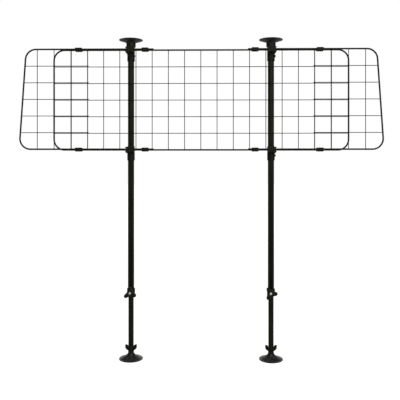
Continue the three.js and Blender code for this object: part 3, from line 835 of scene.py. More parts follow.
low, high = rail_height["bottom"], rail_height["top"]
rim_outline = rectangle(-panel_half_width, low, panel_half_width, high)
rim = bend_rod("panel_rim", [(x, panel_y, z) for x, z, _ in rim_outline], closed=True)
dress(rim, "center_frame", rod_coat)

for side, out in sides.items():
    inner = min(abs(corner.x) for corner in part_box(f"{side}_wing_frame"))
    arm_low, arm_high = low + wing_lift, high + wing_lift
    outline = [(inner, arm_low), (wing_reach["bottom"], arm_low),
               (wing_reach["top"], arm_high), (inner, arm_high)]
    wing = bend_rod(f"wing_rod_{side}", [(out * x, wing_y, z) for x, z in outline], closed=False)
    bevelled(wing, fold=60, width=saw_cut_bevel, segments=3)
    dress(wing, f"{side}_wing_frame", rod_coat)
show("rod", 3)

# %% [markdown]
# ## Welded nets
# A net is a row of upright wires with cross wires laid on their backs. Current is sent through
# each crossing, and the wires sink a little into each other and leave a small bead. That is a
# rule, so it is a tree: a line of uprights, a line of cross wires whose length may change with
# height, and a bead at every crossing and at every end. The parts are then joined into one closed
# skin.

# %% The welded net tree
bead_flatness = 0.62


def make_welded_net():
    tree, given, result = new_group(
        "welded_net", "GeometryNodeTree",
        [("Columns", count, 17), ("Column Pitch", number, 0.05), ("First Column", number, 0.0),
         ("Rows", count, 5), ("Row Pitch", number, 0.05), ("Height", number, 0.3),
         ("Row Start", number, 0.0), ("Row End", number, 1.0), ("Row End Lean", number, 0.0),
         ("Upright Inset", number, 0.001), ("Sink", number, 0.002), ("Wire Radius", number, 0.001),
         ("Bead Radius", number, 0.0015), ("Around", count, 14), ("Finish", surface, None)],
        [("Geometry", shape)],
    )

    def vector(x=0.0, y=0.0, z=0.0):
        return add_node(tree, "ShaderNodeCombineXYZ", {"X": x, "Y": y, "Z": z}).outputs[0]

    def line(start, end):
        inputs = {"Start": start, "End": end}
        return add_node(tree, "GeometryNodeCurvePrimitiveLine", inputs).outputs[0]

    def spots(total, first, step):
        inputs = {"Count": total, "Start Location": first, "Offset": step}
        return add_node(tree, "GeometryNodeMeshLine", inputs, mode="OFFSET").outputs[0]

    def placed(points, what, **inputs):
        inputs = {"Points": points, "Instance": what, **inputs}
        return made_real(tree, add_node(tree, "GeometryNodeInstanceOnPoints", inputs).outputs[0])

    first, pitch, sink = given["First Column"], given["Column Pitch"], given["Sink"]
    row_step = vector(z=given["Row Pitch"])
    upright_top = calculate(tree, "SUBTRACT", given["Height"], given["Upright Inset"])
    upright = line(vector(z=given["Upright Inset"]), vector(z=upright_top))
    uprights = placed(spots(given["Columns"], vector(x=first), vector(x=pitch)), upright)

    first_row = vector(x=given["Row Start"], y=sink, z=given["Row Pitch"])
    place = add_node(tree, "GeometryNodeInputPosition").outputs[0]
    height = add_node(tree, "ShaderNodeSeparateXYZ", {0: place}).outputs["Z"]
    row_end = calculate(tree, "MULTIPLY_ADD", height, given["Row End Lean"], given["Row End"])
    row_length = calculate(tree, "SUBTRACT", row_end, given["Row Start"])
    crossings = placed(spots(given["Rows"], first_row, row_step), line((0, 0, 0), (1, 0, 0)),
                       Scale=vector(x=row_length, y=1.0, z=1.0))

    bead = add_node(
        tree, "GeometryNodeMeshUVSphere",
        {"Segments": 12, "Rings": 8, "Radius": given["Bead Radius"]},
    ).outputs[0]
    first_contact = vector(x=first, y=calculate(tree, "MULTIPLY", sink, 0.5), z=given["Row Pitch"])
    grid_row = spots(given["Columns"], first_contact, vector(x=pitch))
    grid = placed(spots(given["Rows"], (0, 0, 0), row_step), grid_row)
    crossing_beads = placed(grid, bead, Scale=(1.0, bead_flatness, 1.0))
    ends = add_node(
        tree, "GeometryNodeCurveEndpointSelection", {"Start Size": 1, "End Size": 1}
    ).outputs[0]

    union = add_node(tree, "GeometryNodeMeshBoolean", operation="UNION", solver="MANIFOLD")
    for curve in (uprights, crossings):
        swept = sweep(tree, curve, given["Around"], given["Wire Radius"])
        tree.links.new(swept, union.inputs["Mesh 2"])
    tree.links.new(crossing_beads, union.inputs["Mesh 2"])
    for curve in (uprights, crossings):
        tree.links.new(placed(curve, bead, Selection=ends), union.inputs["Mesh 2"])
    return paint(tree, given, result, union.outputs["Mesh"])


welded_net = make_welded_net()
print("tree:", welded_net.name)

# %% [markdown]
# The same tree makes the panel's net and both wings' nets. In a wing the cross wires end at the
# leaning side, so their ends follow it: that is the lean input. The left wing is the right one
# mirrored, and a mirrored mesh is inside out until its faces are flipped.

# %% Weld the three nets
wire_radius = 0.00115
wire_sink = 0.0020
bead_radius = 0.00165
rows = 5
panel_columns = 17
wing_columns = 4
column_pitch = 0.04955
wing_column_pitch = 0.0515
wing_first_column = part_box("right_wing_wire_net")[0].x + wire_radius
row_lap = 0.0006
upright_inset = rod_radius * 0.7

shared = {
    "Rows": rows, "Row Pitch": panel_height / (rows + 1), "Height": panel_height,
    "Upright Inset": upright_inset, "Sink": wire_sink, "Wire Radius": wire_radius,
    "Bead Radius": bead_radius, "Finish": rod_coat,
}
panel_net = grow("panel_wires", welded_net, {
    **shared, "Columns": panel_columns, "Column Pitch": column_pitch,
    "First Column": -column_pitch * (panel_columns - 1) / 2,
    "Row Start": -panel_half_width + row_lap, "Row End": panel_half_width - row_lap,
})
moved(panel_net, shift(y=panel_y, z=rail_height["bottom"]))
dress(panel_net, "center_wire_net", rod_coat)

lean = (wing_reach["top"] - wing_reach["bottom"]) / panel_height
for side, out in sides.items():
    wing_net = grow(f"wing_wires_{side}", welded_net, {
        **shared, "Columns": wing_columns, "Column Pitch": wing_column_pitch,
        "First Column": wing_first_column, "Row Start": wing_first_column - wire_radius,
        "Row End": wing_reach["bottom"] - row_lap, "Row End Lean": lean,
    })
    if out < 0:
        moved(wing_net, Matrix.Scale(-1, 4, (1, 0, 0)))
        wing_net.data.flip_normals()
    moved(wing_net, shift(y=wing_y, z=rail_height["bottom"] + wing_lift))
    dress(wing_net, f"{side}_wing_wire_net", rod_coat)
show("net", 3)

# %% [markdown]
# ## Keyhole clips
# Eight moulded clips keep the wings' arms against the panel's rods. A clip is a pillow-shaped
# block with two bores, one for each rod, and a slot from each bore to the side where the mesh is,
# so that the upright wires can pass as the wing slides. The pillow is what two rounded outlines
# have in common: one as seen from the front, one as seen from the end.

# %% Mould a clip
clip_low, clip_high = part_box("left_top_outer_clip")
clip_half = half_width("left_top_outer_clip")
clip_front = clip_low.y - panel_y
clip_back = clip_high.y - panel_y
clip_round = 0.0034
clip_slot_half = wire_radius + 0.00045
overrun = 0.004
clip_reach = clip_half + overrun


def make_clip(rail):
    node_low, node_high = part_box(f"left_{rail}_outer_clip")
    bottom, top = node_low.z - rail_height[rail], node_high.z - rail_height[rail]
    mesh_edge = bottom - overrun if rail == "top" else top + overrun
    front_view = rectangle(-clip_half, bottom, clip_half, top, clip_round)
    end_view = rectangle(clip_front, bottom, clip_back, top, clip_round)
    pillow = overlap(
        prism(f"clip pattern {rail}", rounded(front_view, closed=True), clip_front, clip_back, "Y"),
        prism("end view", rounded(end_view, closed=True), -clip_reach, clip_reach, "X"),
    )
    cutters = []
    for depth, height in ((0.0, 0.0), (-wing_stack, wing_lift)):
        bore = post("bore", rod_radius + fit_gap, -clip_reach, clip_reach, around=40)
        cutters.append(moved(bore, turn(math.pi / 2, "Y"), shift(y=depth, z=height)))
        cutters.append(block(
            "slot",
            (-clip_reach, depth - clip_slot_half, min(mesh_edge, height)),
            (clip_reach, depth + clip_slot_half, max(mesh_edge, height)),
        ))
    return moulded(cut(pillow, *cutters), voxel=0.00035)


print(f"a clip is {2000 * clip_half:.0f} mm long")

# %% [markdown]
# All clips at one rail are alike, so one pattern is moulded for each rail and copied to its four
# places. The patterns themselves are removed.

# %% Set out the eight clips
patterns = {rail: make_clip(rail) for rail in rails}
for side in sides:
    for rail in rails:
        for place in ("outer", "inner"):
            node = f"{side}_{rail}_{place}_clip"
            clip = copy_of(patterns[rail], f"clip_{side}_{rail}_{place}")
            moved(clip, shift(x=middle(node).x, y=panel_y, z=rail_height[rail]))
            dress(clip, node, moulded_black)
for pattern in patterns.values():
    bpy.data.objects.remove(pattern)
show("clip", 8)

# %% [markdown]
# ## Hook brackets
# A bracket is a sleeve that slides on the pole, with a hook in front that carries the panel's rod
# and the wing's arm. The rods drop in from above, a bead under the lip keeps them there, and two
# teeth reach out beside them. It is drawn as the tool maker would: a plate seen from the front, a
# channel and a slanted underside seen from the end, and the sleeve turned round the pole.

# %% The bracket's sizes
bracket_low, bracket_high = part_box("left_top_bracket")
bracket_rise = bracket_high.z - rail_height["top"]
bracket_drop = rail_height["top"] - bracket_low.z
sleeve_wall = 0.0018
sleeve_radius = sleeve_bore + sleeve_wall
head_half = 0.0118
jaw_floor = -0.0105
hook_wall = 0.0034
hook_rise = 0.008
lip = 0.0012
tooth_reach = 0.0029
tooth_height = 0.0048
tooth_mouth = 0.0106
underside_slope = 0.0045
shoulder = 0.0014
foot_round = 0.0006
set_screw_drop = 0.0165
set_screw_radius = 0.0025
hook_front = wing_y - rod_radius - fit_gap - hook_wall
channel_front = hook_front + hook_wall
bracket_reach = head_half + tooth_reach + overrun
print(f"a bracket is {1000 * (bracket_rise + bracket_drop):.0f} mm tall")

# %% [markdown]
# The outline lists the plate's corners from below, round the side with the teeth and over the
# top, each with the radius of its rounding. A left-hand bracket is the same outline, mirrored and
# read backwards so that it still runs anticlockwise.


# %% Draw and mould a bracket
def bracket_outline(out):
    r = shoulder
    tip = head_half + tooth_reach
    lower_tooth = wing_lift / 2 - tooth_mouth / 2
    upper_tooth = wing_lift / 2 + tooth_mouth / 2
    corners = [
        (-head_half, jaw_floor, r), (head_half, jaw_floor, r / 2),
        (tip, lower_tooth - tooth_height / 2, r / 2), (tip, lower_tooth, r / 3),
        (head_half, -rod_radius, r / 2), (head_half, wing_lift + rod_radius, r / 2),
        (tip, upper_tooth, r / 3), (tip, upper_tooth + tooth_height / 2, r / 2),
        (head_half, hook_rise + shoulder, r / 2), (-head_half, hook_rise + shoulder, r),
    ]
    if out < 0:
        corners = [(-x, z, radius) for x, z, radius in reversed(corners)]
    return rounded(corners, closed=True)


def seen_from_the_end(name, points):
    outline = [(depth, height, 0) for depth, height in points]
    return prism(name, outline, -bracket_reach, bracket_reach, "X")


def make_bracket(name, out, screw_turn):
    outside, slope_top = hook_front - overrun, jaw_floor + underside_slope
    underside = seen_from_the_end("underside", [
        (outside, jaw_floor - overrun), (0, jaw_floor - overrun), (0, jaw_floor),
        (-sleeve_radius, jaw_floor), (hook_front, slope_top), (outside, slope_top)])
    ceiling = bracket_rise + overrun
    seat = -rod_radius - fit_gap
    lip_under = wing_lift + rod_radius + fit_gap
    channel = seen_from_the_end("channel", [
        (channel_front, seat), (-sleeve_radius, seat), (-sleeve_radius, ceiling),
        (channel_front, ceiling), (channel_front, lip_under + 2 * lip),
        (channel_front + lip, lip_under + lip), (channel_front, lip_under)])
    sleeve = turned("sleeve", [
        (sleeve_bore, -bracket_drop, 0), (sleeve_radius, -bracket_drop, foot_round),
        (sleeve_radius, bracket_rise, shoulder), (sleeve_bore, bracket_rise, 0),
    ], closed=True, around=96)
    pole_bore = post("pole bore", sleeve_bore, -bracket_drop - overrun, ceiling, around=96)
    screw_hole = pin("screw hole", set_screw_radius + fit_gap, 0, sleeve_radius + overrun)
    moved(screw_hole, shift(z=-set_screw_drop), turn(screw_turn))

    head = prism(name, bracket_outline(out), hook_front, 0, "Y")
    cut(head, underside, channel)
    join(head, sleeve)
    cut(head, pole_bore, screw_hole)
    return moulded(head, voxel=0.00042)


print("the hook's lip stands", 1000 * lip, "mm over the rod")

# %% [markdown]
# Each bracket's set screw was left at its own angle, so the loaded screws say where they point:
# the angle between the front and the line from the pole to the screw.


# %% Place the four brackets
def facing(node, side):
    place = middle(node)
    return math.atan2(place.x - pole_x[side], -place.y)


for side, out in sides.items():
    for rail in rails:
        screw_turn = facing(f"{side}_{rail}_set_screw", side)
        bracket = make_bracket(f"bracket_{side}_{rail}", out, screw_turn)
        moved(bracket, shift(x=pole_x[side], z=rail_height[rail]))
        dress(bracket, f"{side}_{rail}_bracket", moulded_black)
show("bracket", 4)

# %% [markdown]
# ## Threads
# A thread is a ridge that climbs round a cylinder. Instead of modelling the ridge, the tree takes
# a finely divided cylinder and pulls each point towards the axis by an amount that depends on its
# height and its angle: where height minus angle, counted in pitches, is half way between two
# crests, the pull is largest.


# %% The thread tree
def make_thread():
    tree, given, result = new_group(
        "thread", "GeometryNodeTree",
        [("Radius", number, 0.005), ("Pitch", number, 0.0015), ("Depth", number, 0.0007),
         ("Length", number, 0.05), ("Steps", count, 400), ("Around", count, 32),
         ("Finish", surface, None)],
        [("Geometry", shape)],
    )
    rod = add_node(
        tree, "GeometryNodeMeshCylinder",
        {"Vertices": given["Around"], "Side Segments": given["Steps"], "Radius": given["Radius"],
         "Depth": given["Length"]},
    ).outputs["Mesh"]
    place = add_node(tree, "GeometryNodeInputPosition").outputs[0]
    parts = add_node(tree, "ShaderNodeSeparateXYZ", {0: place}).outputs
    angle = calculate(tree, "ARCTAN2", parts["Y"], parts["X"])
    turns = calculate(tree, "DIVIDE", angle, 2 * math.pi)
    climbs = calculate(tree, "DIVIDE", parts["Z"], given["Pitch"])
    phase = calculate(tree, "SUBTRACT", climbs, turns)
    ridge = calculate(tree, "PINGPONG", phase, 0.5)
    depth_share = calculate(tree, "DIVIDE", given["Depth"], given["Radius"])
    pull = calculate(tree, "MULTIPLY", calculate(tree, "MULTIPLY", ridge, 2.0), depth_share)
    keep = calculate(tree, "SUBTRACT", 1.0, pull)
    squeeze = add_node(tree, "ShaderNodeCombineXYZ", {"X": keep, "Y": keep, "Z": 1.0}).outputs[0]
    pulled = add_node(
        tree, "ShaderNodeVectorMath", {0: place, 1: squeeze}, operation="MULTIPLY"
    ).outputs[0]
    inputs = {"Geometry": rod, "Position": pulled}
    return paint(tree, given, result, add_node(tree, "GeometryNodeSetPosition", inputs).outputs[0])


thread_tree = make_thread()
steps_in_a_pitch = 8


def threaded(name, radius, pitch, depth, low, high, finish):
    length = high - low
    piece = grow(name, thread_tree, {
        "Radius": radius, "Pitch": pitch, "Depth": depth, "Length": length,
        "Steps": int(length / pitch * steps_in_a_pitch), "Finish": finish,
    })
    return moved(piece, shift(z=(low + high) / 2))


print("tree:", thread_tree.name)

# %% [markdown]
# ## Set screws
# A cross-slotted screw in each bracket bears on the pole. Its head is a low dome, turned on the
# lathe, with two crossed slots. The same helper threads its shank.

# %% Turn the set screws
set_screw_pitch = 0.0008
set_screw_depth = 0.0004
screw_head_radius = 0.0043
screw_head_height = 0.0026
screw_slot_half = 0.0006
screw_slot_depth = 0.0012
slot_reach = screw_head_radius * 0.78
buried = 0.0005


def domed_head(name, radius, near, far, flat_share, crown):
    return turned(name, [
        (0, near, 0), (radius, near, 0.0003), (radius, far - 0.0009, 0.0008),
        (radius * flat_share, far, crown), (0, far, 0)], around=64)


def make_set_screw(name):
    near = sleeve_radius + fit_gap
    far = near + screw_head_height
    head = domed_head(name, screw_head_radius, near, far, flat_share=0.55, crown=0.0009)
    join(head, threaded("shank", set_screw_radius, set_screw_pitch, set_screw_depth,
                        sleeve_bore, near + buried, black_steel))
    slot_outline = rectangle(-slot_reach, -screw_slot_half, slot_reach, screw_slot_half)
    for angle in (0, math.pi / 2):
        slot = prism("slot", slot_outline, far - screw_slot_depth, far + overrun, "Z")
        cut(head, moved(slot, turn(angle)))
    return moved(head, turn(math.pi / 2, "X"))


for side in sides:
    for rail in rails:
        node = f"{side}_{rail}_set_screw"
        screw = make_set_screw(f"set_screw_{side}_{rail}")
        moved(screw, turn(facing(node, side)), shift(x=pole_x[side], z=middle(node).z))
        dress(screw, node, black_steel)
show("set screw", 4)

# %% [markdown]
# ## Tubes
# The upper tube is 19 mm steel, painted, open at both ends and pierced for the clamp's shoe. The
# lower one is 16 mm and slides inside it. Both are turned profiles whose rims are barely rounded,
# as a tube cutter leaves them.

# %% Turn the tubes
tube_wall_lower = 0.0012
rim_round = 0.0003
shoe_radius = 0.004
knob_height = middle("left_clamp_screw").z


def span(node):
    low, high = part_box(node)
    return low.z, high.z


def cut_tube(name, node, inner, outer):
    low, high = span(node)
    rim = rectangle(inner, low, outer, high, rim_round)
    return turned(name, rim, closed=True, around=96, steps=3)


def on_clamp(piece, side):
    """Lift a piece to the clamp's height, and turn it to where the clamp points."""
    return moved(piece, shift(z=knob_height), turn(facing(f"{side}_clamp_screw", side)))


def stand(piece, side, part, finish):
    """Move a piece on to its pole, and dress it as that pole's part."""
    moved(piece, shift(x=pole_x[side]))
    return dress(piece, f"{side}_{part}", finish)


for side in sides:
    tube = cut_tube(f"pole_tube_{side}", f"{side}_upper_tube", tube_bore, upper_tube_radius)
    hole = pin("shoe hole", shoe_radius + fit_gap, 0, upper_tube_radius + overrun)
    cut(tube, on_clamp(hole, side))
    stand(tube, side, "upper_tube", tube_paint)

    leg_bore = lower_tube_radius - tube_wall_lower
    leg = cut_tube(f"leg_tube_{side}", f"{side}_lower_tube", leg_bore, lower_tube_radius)
    stand(leg, side, "lower_tube", tube_paint)
show("tube", 4)

# %% [markdown]
# A moulded cap closes the lower tube's upper end, and a threaded plug its lower end. The wing nut
# bears on the plug's flange, and the jack stud runs up through its bore.

# %% Turn the cap and the end plug
plug_radius = lower_tube_radius - tube_wall_lower - fit_gap
flange_height = 0.002
stud_radius = 0.005
stud_bore = stud_radius + fit_gap
small_round = 0.0005
for side in sides:
    low, high = span(f"{side}_lower_tube_cap")
    under = high - flange_height
    cap = turned(f"leg_cap_{side}", [
        (0, low, 0), (plug_radius, low, small_round), (plug_radius, under, 0),
        (lower_tube_radius, under, rim_round), (lower_tube_radius, high, small_round),
        (0, high, 0)])
    stand(cap, side, "lower_tube_cap", moulded_black)

    low, high = span(f"{side}_tube_end_plug")
    flange_top = low + flange_height
    plug = turned(f"leg_plug_{side}", [
        (stud_bore, low, rim_round), (lower_tube_radius, low, small_round),
        (lower_tube_radius, flange_top, rim_round), (plug_radius, flange_top, 0),
        (plug_radius, high, small_round), (stud_bore, high, rim_round)], closed=True)
    stand(plug, side, "tube_end_plug", moulded_black)
show("moulding", 4)

# %% [markdown]
# ## Rubber pads
# The foot pad is a wide rubber disc that rises in a shallow cone to a neck. The roof pad is the
# same idea upside down, with a thicker neck that is pushed over the tube. The face that grips has
# rings moulded in it, and a dish in the middle. All of it is one turned profile, with soft
# corners.

# %% The grip on a pad's face
pad_radius = half_width("left_foot_pad")
pad_edge = 0.0009
dish_radius = 0.020
dish_depth = 0.0012
dish_round = 0.0006
dish_lip_round = 0.0004
grip_rings = 4
grip_depth = 0.0005
grip_width = 0.0011
grip_round = 0.0002


def grip_grooves(height, into):
    """Corners of the face outside the dish, with narrow ring grooves cut in it."""
    corners = []
    outer = pad_radius - pad_edge
    for k in range(grip_rings):
        at = dish_radius + (outer - dish_radius) * (k + 0.5) / grip_rings
        corners += [(at - grip_width / 2, height, grip_round),
                    (at - grip_width / 4, height + into, 0),
                    (at + grip_width / 4, height + into, 0),
                    (at + grip_width / 2, height, grip_round)]
    return corners


print("grip rings:", grip_rings)

# %% [markdown]
# The foot's profile starts in the middle of its dish, runs out along the grooved face, round the
# rim, up the cone to the neck and back down its bore, where a pocket holds the jack stud's
# flange. The face lies a hair above the floor's own height, so that the two never fight for one
# place.

# %% Turn the foot pads
sole = 0.00001
foot_top = span("left_foot_pad")[1]
foot_neck_radius = 0.0089
foot_cone_top = 0.0146
neck_flare = 0.0045
neck_bend = 0.006
pad_rim_height = 0.0026
stud_flange_radius = 0.014
flange_low, flange_high = 0.006, 0.009
pocket = stud_flange_radius + fit_gap
pocket_floor, pocket_roof = flange_low - fit_gap, flange_high + fit_gap
for side in sides:
    foot = turned(f"foot_pad_{side}", [
        (0, dish_depth, 0), (dish_radius - dish_depth, dish_depth, dish_round),
        (dish_radius, sole, dish_lip_round), *grip_grooves(sole, grip_depth),
        (pad_radius, sole, pad_edge), (pad_radius, pad_rim_height, pad_edge),
        (pad_radius - 0.0036, pad_rim_height + 0.0001, 0.0005),
        (pad_radius - 0.0046, pad_rim_height + 0.0004, 0.0006),
        (foot_neck_radius + neck_flare, foot_cone_top - 0.0022, neck_bend),
        (foot_neck_radius, foot_cone_top + 0.004, neck_bend),
        (foot_neck_radius, foot_top, small_round), (stud_bore, foot_top, rim_round),
        (stud_bore, pocket_roof, 0), (pocket, pocket_roof, 0), (pocket, pocket_floor, 0),
        (0, pocket_floor, 0)], around=96)
    stand(foot, side, "foot_pad", foot_rubber)
show("foot pad", 2)

# %% [markdown]
# The roof pad's profile starts at the top of its socket, where the tube ends, and runs down
# inside the neck, up its outside, out along the cone and back in over the grooved face.

# %% Turn the roof pads
roof_low, roof_high = span("left_top_pad")
socket_top = span("left_upper_tube")[1] + fit_gap
roof_neck_radius = 0.0144
roof_neck_height = 0.0134
roof_cone_height = 0.0076
roof_edge = 0.0005
cone_low = roof_low + roof_neck_height
rim_low = cone_low + roof_cone_height
for side in sides:
    roof = turned(f"roof_pad_{side}", [
        (0, socket_top, 0), (sleeve_bore, socket_top, 0), (sleeve_bore, roof_low, rim_round),
        (roof_neck_radius, roof_low, 0.0008), (roof_neck_radius, cone_low, 0.0025),
        (pad_radius - 0.003, rim_low - 0.0004, 0.0012), (pad_radius, rim_low, roof_edge),
        (pad_radius, roof_high, roof_edge), *reversed(grip_grooves(roof_high, -grip_depth)),
        (dish_radius, roof_high, dish_lip_round),
        (dish_radius - dish_depth, roof_high - dish_depth, dish_round),
        (0, roof_high - dish_depth, 0)], around=96)
    stand(roof, side, "top_pad", pad_rubber)
show("roof pad", 2)

# %% [markdown]
# ## Clamp collar
# A moulded cup fits round the upper tube's end. Its lip closes in below the tube and guides the
# lower one, and a boss in front takes the clamp screw. Turned cup, round boss, bores cut through:
# then the whole is melted into one moulding.

# %% Mould the collars
collar_low, collar_high = span("left_clamp_collar")
collar_radius = 0.0122
collar_round = 0.0016
collar_lip = 0.003
lip_top = collar_low + collar_lip
skim = 0.0001
boss_radius = 0.0075
boss_reach = 0.020
clamp_screw_radius = 0.003
screw_bore = clamp_screw_radius + fit_gap
shoe_travel = 0.003
shoe_far = -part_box("left_clamp_shoe")[0].y
for side in sides:
    cup = turned(f"clamp_collar_{side}", [
        (tube_bore, collar_low, rim_round), (collar_radius, collar_low, collar_round),
        (collar_radius, collar_high, collar_round), (sleeve_bore, collar_high, rim_round),
        (sleeve_bore, lip_top, 0), (tube_bore, lip_top, 0)], closed=True, around=96)
    join(cup, on_clamp(pin("boss", boss_radius, 0, boss_reach), side))
    shoe_pocket = pin("pocket", shoe_radius + fit_gap, 0, shoe_far + shoe_travel + fit_gap)
    cut(
        cup,
        post("inside", sleeve_bore, lip_top - skim, collar_high + overrun, around=96),
        post("below", tube_bore, collar_low - overrun, lip_top + overrun, around=96),
        on_clamp(shoe_pocket, side),
        on_clamp(pin("thread bore", screw_bore, 0, boss_reach + overrun), side),
    )
    stand(moulded(cup), side, "clamp_collar", moulded_black)
show("collar", 2)

# %% [markdown]
# ## Clamp knob
# The knob has three lobes for the fingers. Its outline repeats three times round the screw: half
# a circle for a lobe's end, then a curve that dips towards the centre and rises to the next lobe.
# A shallow recess round the middle holds the screw's bright head.

# %% Draw the knob's outline
lobes = 3
lobe_radius = 0.0055
knob_reach = 0.0205
valley_radius = 0.0074
curve_steps = 12


def towards(angle, distance):
    return Vector((math.cos(angle), math.sin(angle))) * distance


def knob_outline(first_angle):
    points = []
    centre = knob_reach - lobe_radius
    step = 2 * math.pi / lobes
    for lobe in range(lobes):
        angle = first_angle + lobe * step
        for k in range(curve_steps + 1):
            around = angle + math.pi * (k / curve_steps - 0.5)
            points.append(towards(angle, centre) + towards(around, lobe_radius))
        start = points[-1]
        following = angle + step
        end = towards(following, centre) + towards(following - math.pi / 2, lobe_radius)
        valley = towards(angle + step / 2, valley_radius)
        for k in range(1, curve_steps):
            t = k / curve_steps
            points.append(start * (1 - t) ** 2 + valley * 2 * t * (1 - t) + end * t ** 2)
    return [(point.x, point.y, 0) for point in points]


print("points round a knob:", len(knob_outline(0)))

# %% [markdown]
# The outline becomes a thick plate with well rounded rims, on a short hub that keeps it off the
# boss. The bore and the recess are cut, and the remesh melts it all into one moulding.

# %% Mould the knobs
lobe_angle = {"left": math.radians(-25), "right": 0.0}
knob_near = boss_reach + fit_gap
knob_neck = 0.0026
knob_plate = 0.0105
knob_plate_near = knob_near + knob_neck
knob_far = knob_plate_near + knob_plate
knob_hub_radius = 0.0065
hub_far = knob_far - 0.004
knob_rim = 0.0019
screw_head = 0.00415
screw_head_proud = 0.0006
screw_head_thick = 0.002
head_far = knob_far + screw_head_proud
head_near = head_far - screw_head_thick
for side in sides:
    outline = knob_outline(lobe_angle[side])
    knob = prism(f"clamp_knob_{side}", outline, -knob_far, -knob_plate_near, "Y")
    bevelled(knob, fold=50, width=knob_rim, segments=5)
    join(knob, pin("hub", knob_hub_radius, knob_near, hub_far))
    cut(knob, pin("bore", screw_bore, 0, knob_far + overrun),
        pin("recess", screw_head + fit_gap, head_near - fit_gap, knob_far + overrun))
    on_clamp(moulded(knob, voxel=0.00038), side)
    stand(knob, side, "clamp_knob", moulded_black)
show("knob", 2)

# %% [markdown]
# ## Clamp screw and shoe
# The screw's domed head is what catches the light in the middle of the knob. Its threaded shank
# runs through the boss and pushes a small shoe, hollowed to the tube's curve.

# %% Turn the clamp screws and their shoes
clamp_screw_pitch = 0.001
clamp_screw_depth = 0.0005
hollow_half = 0.01
for side in sides:
    screw = domed_head(f"clamp_screw_{side}", screw_head, head_near, head_far,
                       flat_share=0.45, crown=0.003)
    join(screw, threaded("shank", clamp_screw_radius, clamp_screw_pitch, clamp_screw_depth,
                         shoe_far + fit_gap, head_near + buried, bright_zinc))
    on_clamp(moved(screw, turn(math.pi / 2, "X")), side)
    stand(screw, side, "clamp_screw", bright_zinc)

    shoe = pin(f"clamp_shoe_{side}", shoe_radius, 0, shoe_far)
    cut(shoe, post("hollow", tube_bore, -hollow_half, hollow_half, around=96))
    on_clamp(moulded(shoe, voxel=0.0003, smoothing=4), side)
    stand(shoe, side, "clamp_shoe", moulded_black)
show("clamp part", 4)

# %% [markdown]
# ## Wing nut
# Turned by finger and thumb, the wing nut drives the jack. Its two ears curve out from the hub
# and up beside the tube, like the horns of a bowl. One ear is drawn and its twin is the same ear
# turned half way round.

# %% Mould the wing nuts
bottom, ear_top = span("left_wing_nut")
hub_radius = 0.009
hub_height = 0.013
hub_top = bottom + hub_height
ear_half = 0.0021
ear_tip = half_width("left_wing_nut")
clear = lower_tube_radius + 2 * fit_gap
ear_outline = rounded([
    (0, bottom, 0), (hub_radius - 0.0005, bottom + 0.0005, 0.004),
    (ear_tip - 0.0036, bottom + 0.0042, 0.007), (ear_tip, bottom + 0.0088, 0.005),
    (ear_tip, ear_top, 0.0011), (ear_tip - 0.0026, ear_top, 0.0011),
    (clear + 0.0018, hub_top + 0.0042, 0.002), (clear, hub_top + 0.0036, 0.0005),
    (clear, hub_top, 0), (0, hub_top, 0)], closed=True)
for side in sides:
    nut = turned(f"wing_nut_{side}", [
        (0, bottom, 0), (hub_radius - 0.0013, bottom, 0.0006), (hub_radius, bottom + 0.0026, 0.002),
        (hub_radius, hub_top, 0.0008), (0, hub_top, 0)])
    ears = [moved(prism("ear", ear_outline, -ear_half, ear_half, "Y"), turn(angle))
            for angle in (0, math.pi)]
    join(nut, *ears)
    cut(nut, post("bore", stud_bore, bottom - overrun, hub_top + overrun))
    stand(moulded(nut, voxel=0.00038), side, "wing_nut", moulded_black)
show("wing nut", 2)

# %% [markdown]
# ## Jack stud
# A threaded stud with a round flange, moulded into the foot pad. It shows only when the jack is
# wound out, between the pad and the nut, so its thread is real.

# %% Turn the jack studs
stud_low, stud_top = span("left_foot_stud")
stud_tip = stud_top - 0.0025
jack_pitch = 0.0015
jack_depth = 0.0007
for side in sides:
    stud = turned(f"jack_stud_{side}", [
        (0, stud_low, 0), (stud_flange_radius, stud_low, rim_round),
        (stud_flange_radius, flange_high, rim_round), (0, flange_high, 0)], around=64)
    tip = turned("tip", [
        (0, stud_tip, 0), (stud_radius - 0.0008, stud_tip, 0),
        (stud_radius - 0.0012, stud_top, small_round), (0, stud_top, 0)], around=64)
    join(stud, threaded("stem", stud_radius, jack_pitch, jack_depth,
                        flange_high - buried, stud_top - 0.001, bright_zinc))
    join(stud, tip)
    stand(stud, side, "foot_stud", bright_zinc)
print("finished pieces:", len(finished), "of", len(frame["nodes"]))

# %% [markdown]
# ## Light and floor
# The barrier stands on white paper that also hangs behind it. The camera sees white paper
# wherever it looks. A reflection finds the paper only where it would really hang, behind the
# barrier, and elsewhere the dim room round the set: that is what keeps black paint black at its
# edges. Matte surfaces get an even fill from all round.

# %% White paper and a dim room
fill_level = 0.32
room_level = 0.12
paper_from = 0.72
paper_full = 0.92


def rays(tree):
    path = add_node(tree, "ShaderNodeLightPath").outputs
    mirrors = calculate(tree, "MAXIMUM", path["Is Glossy Ray"], path["Is Transmission Ray"])
    return path["Is Camera Ray"], mirrors


def mix_numbers(tree, share, first, second):
    return add_node(tree, "ShaderNodeMix", {0: share, 2: first, 3: second}).outputs[0]


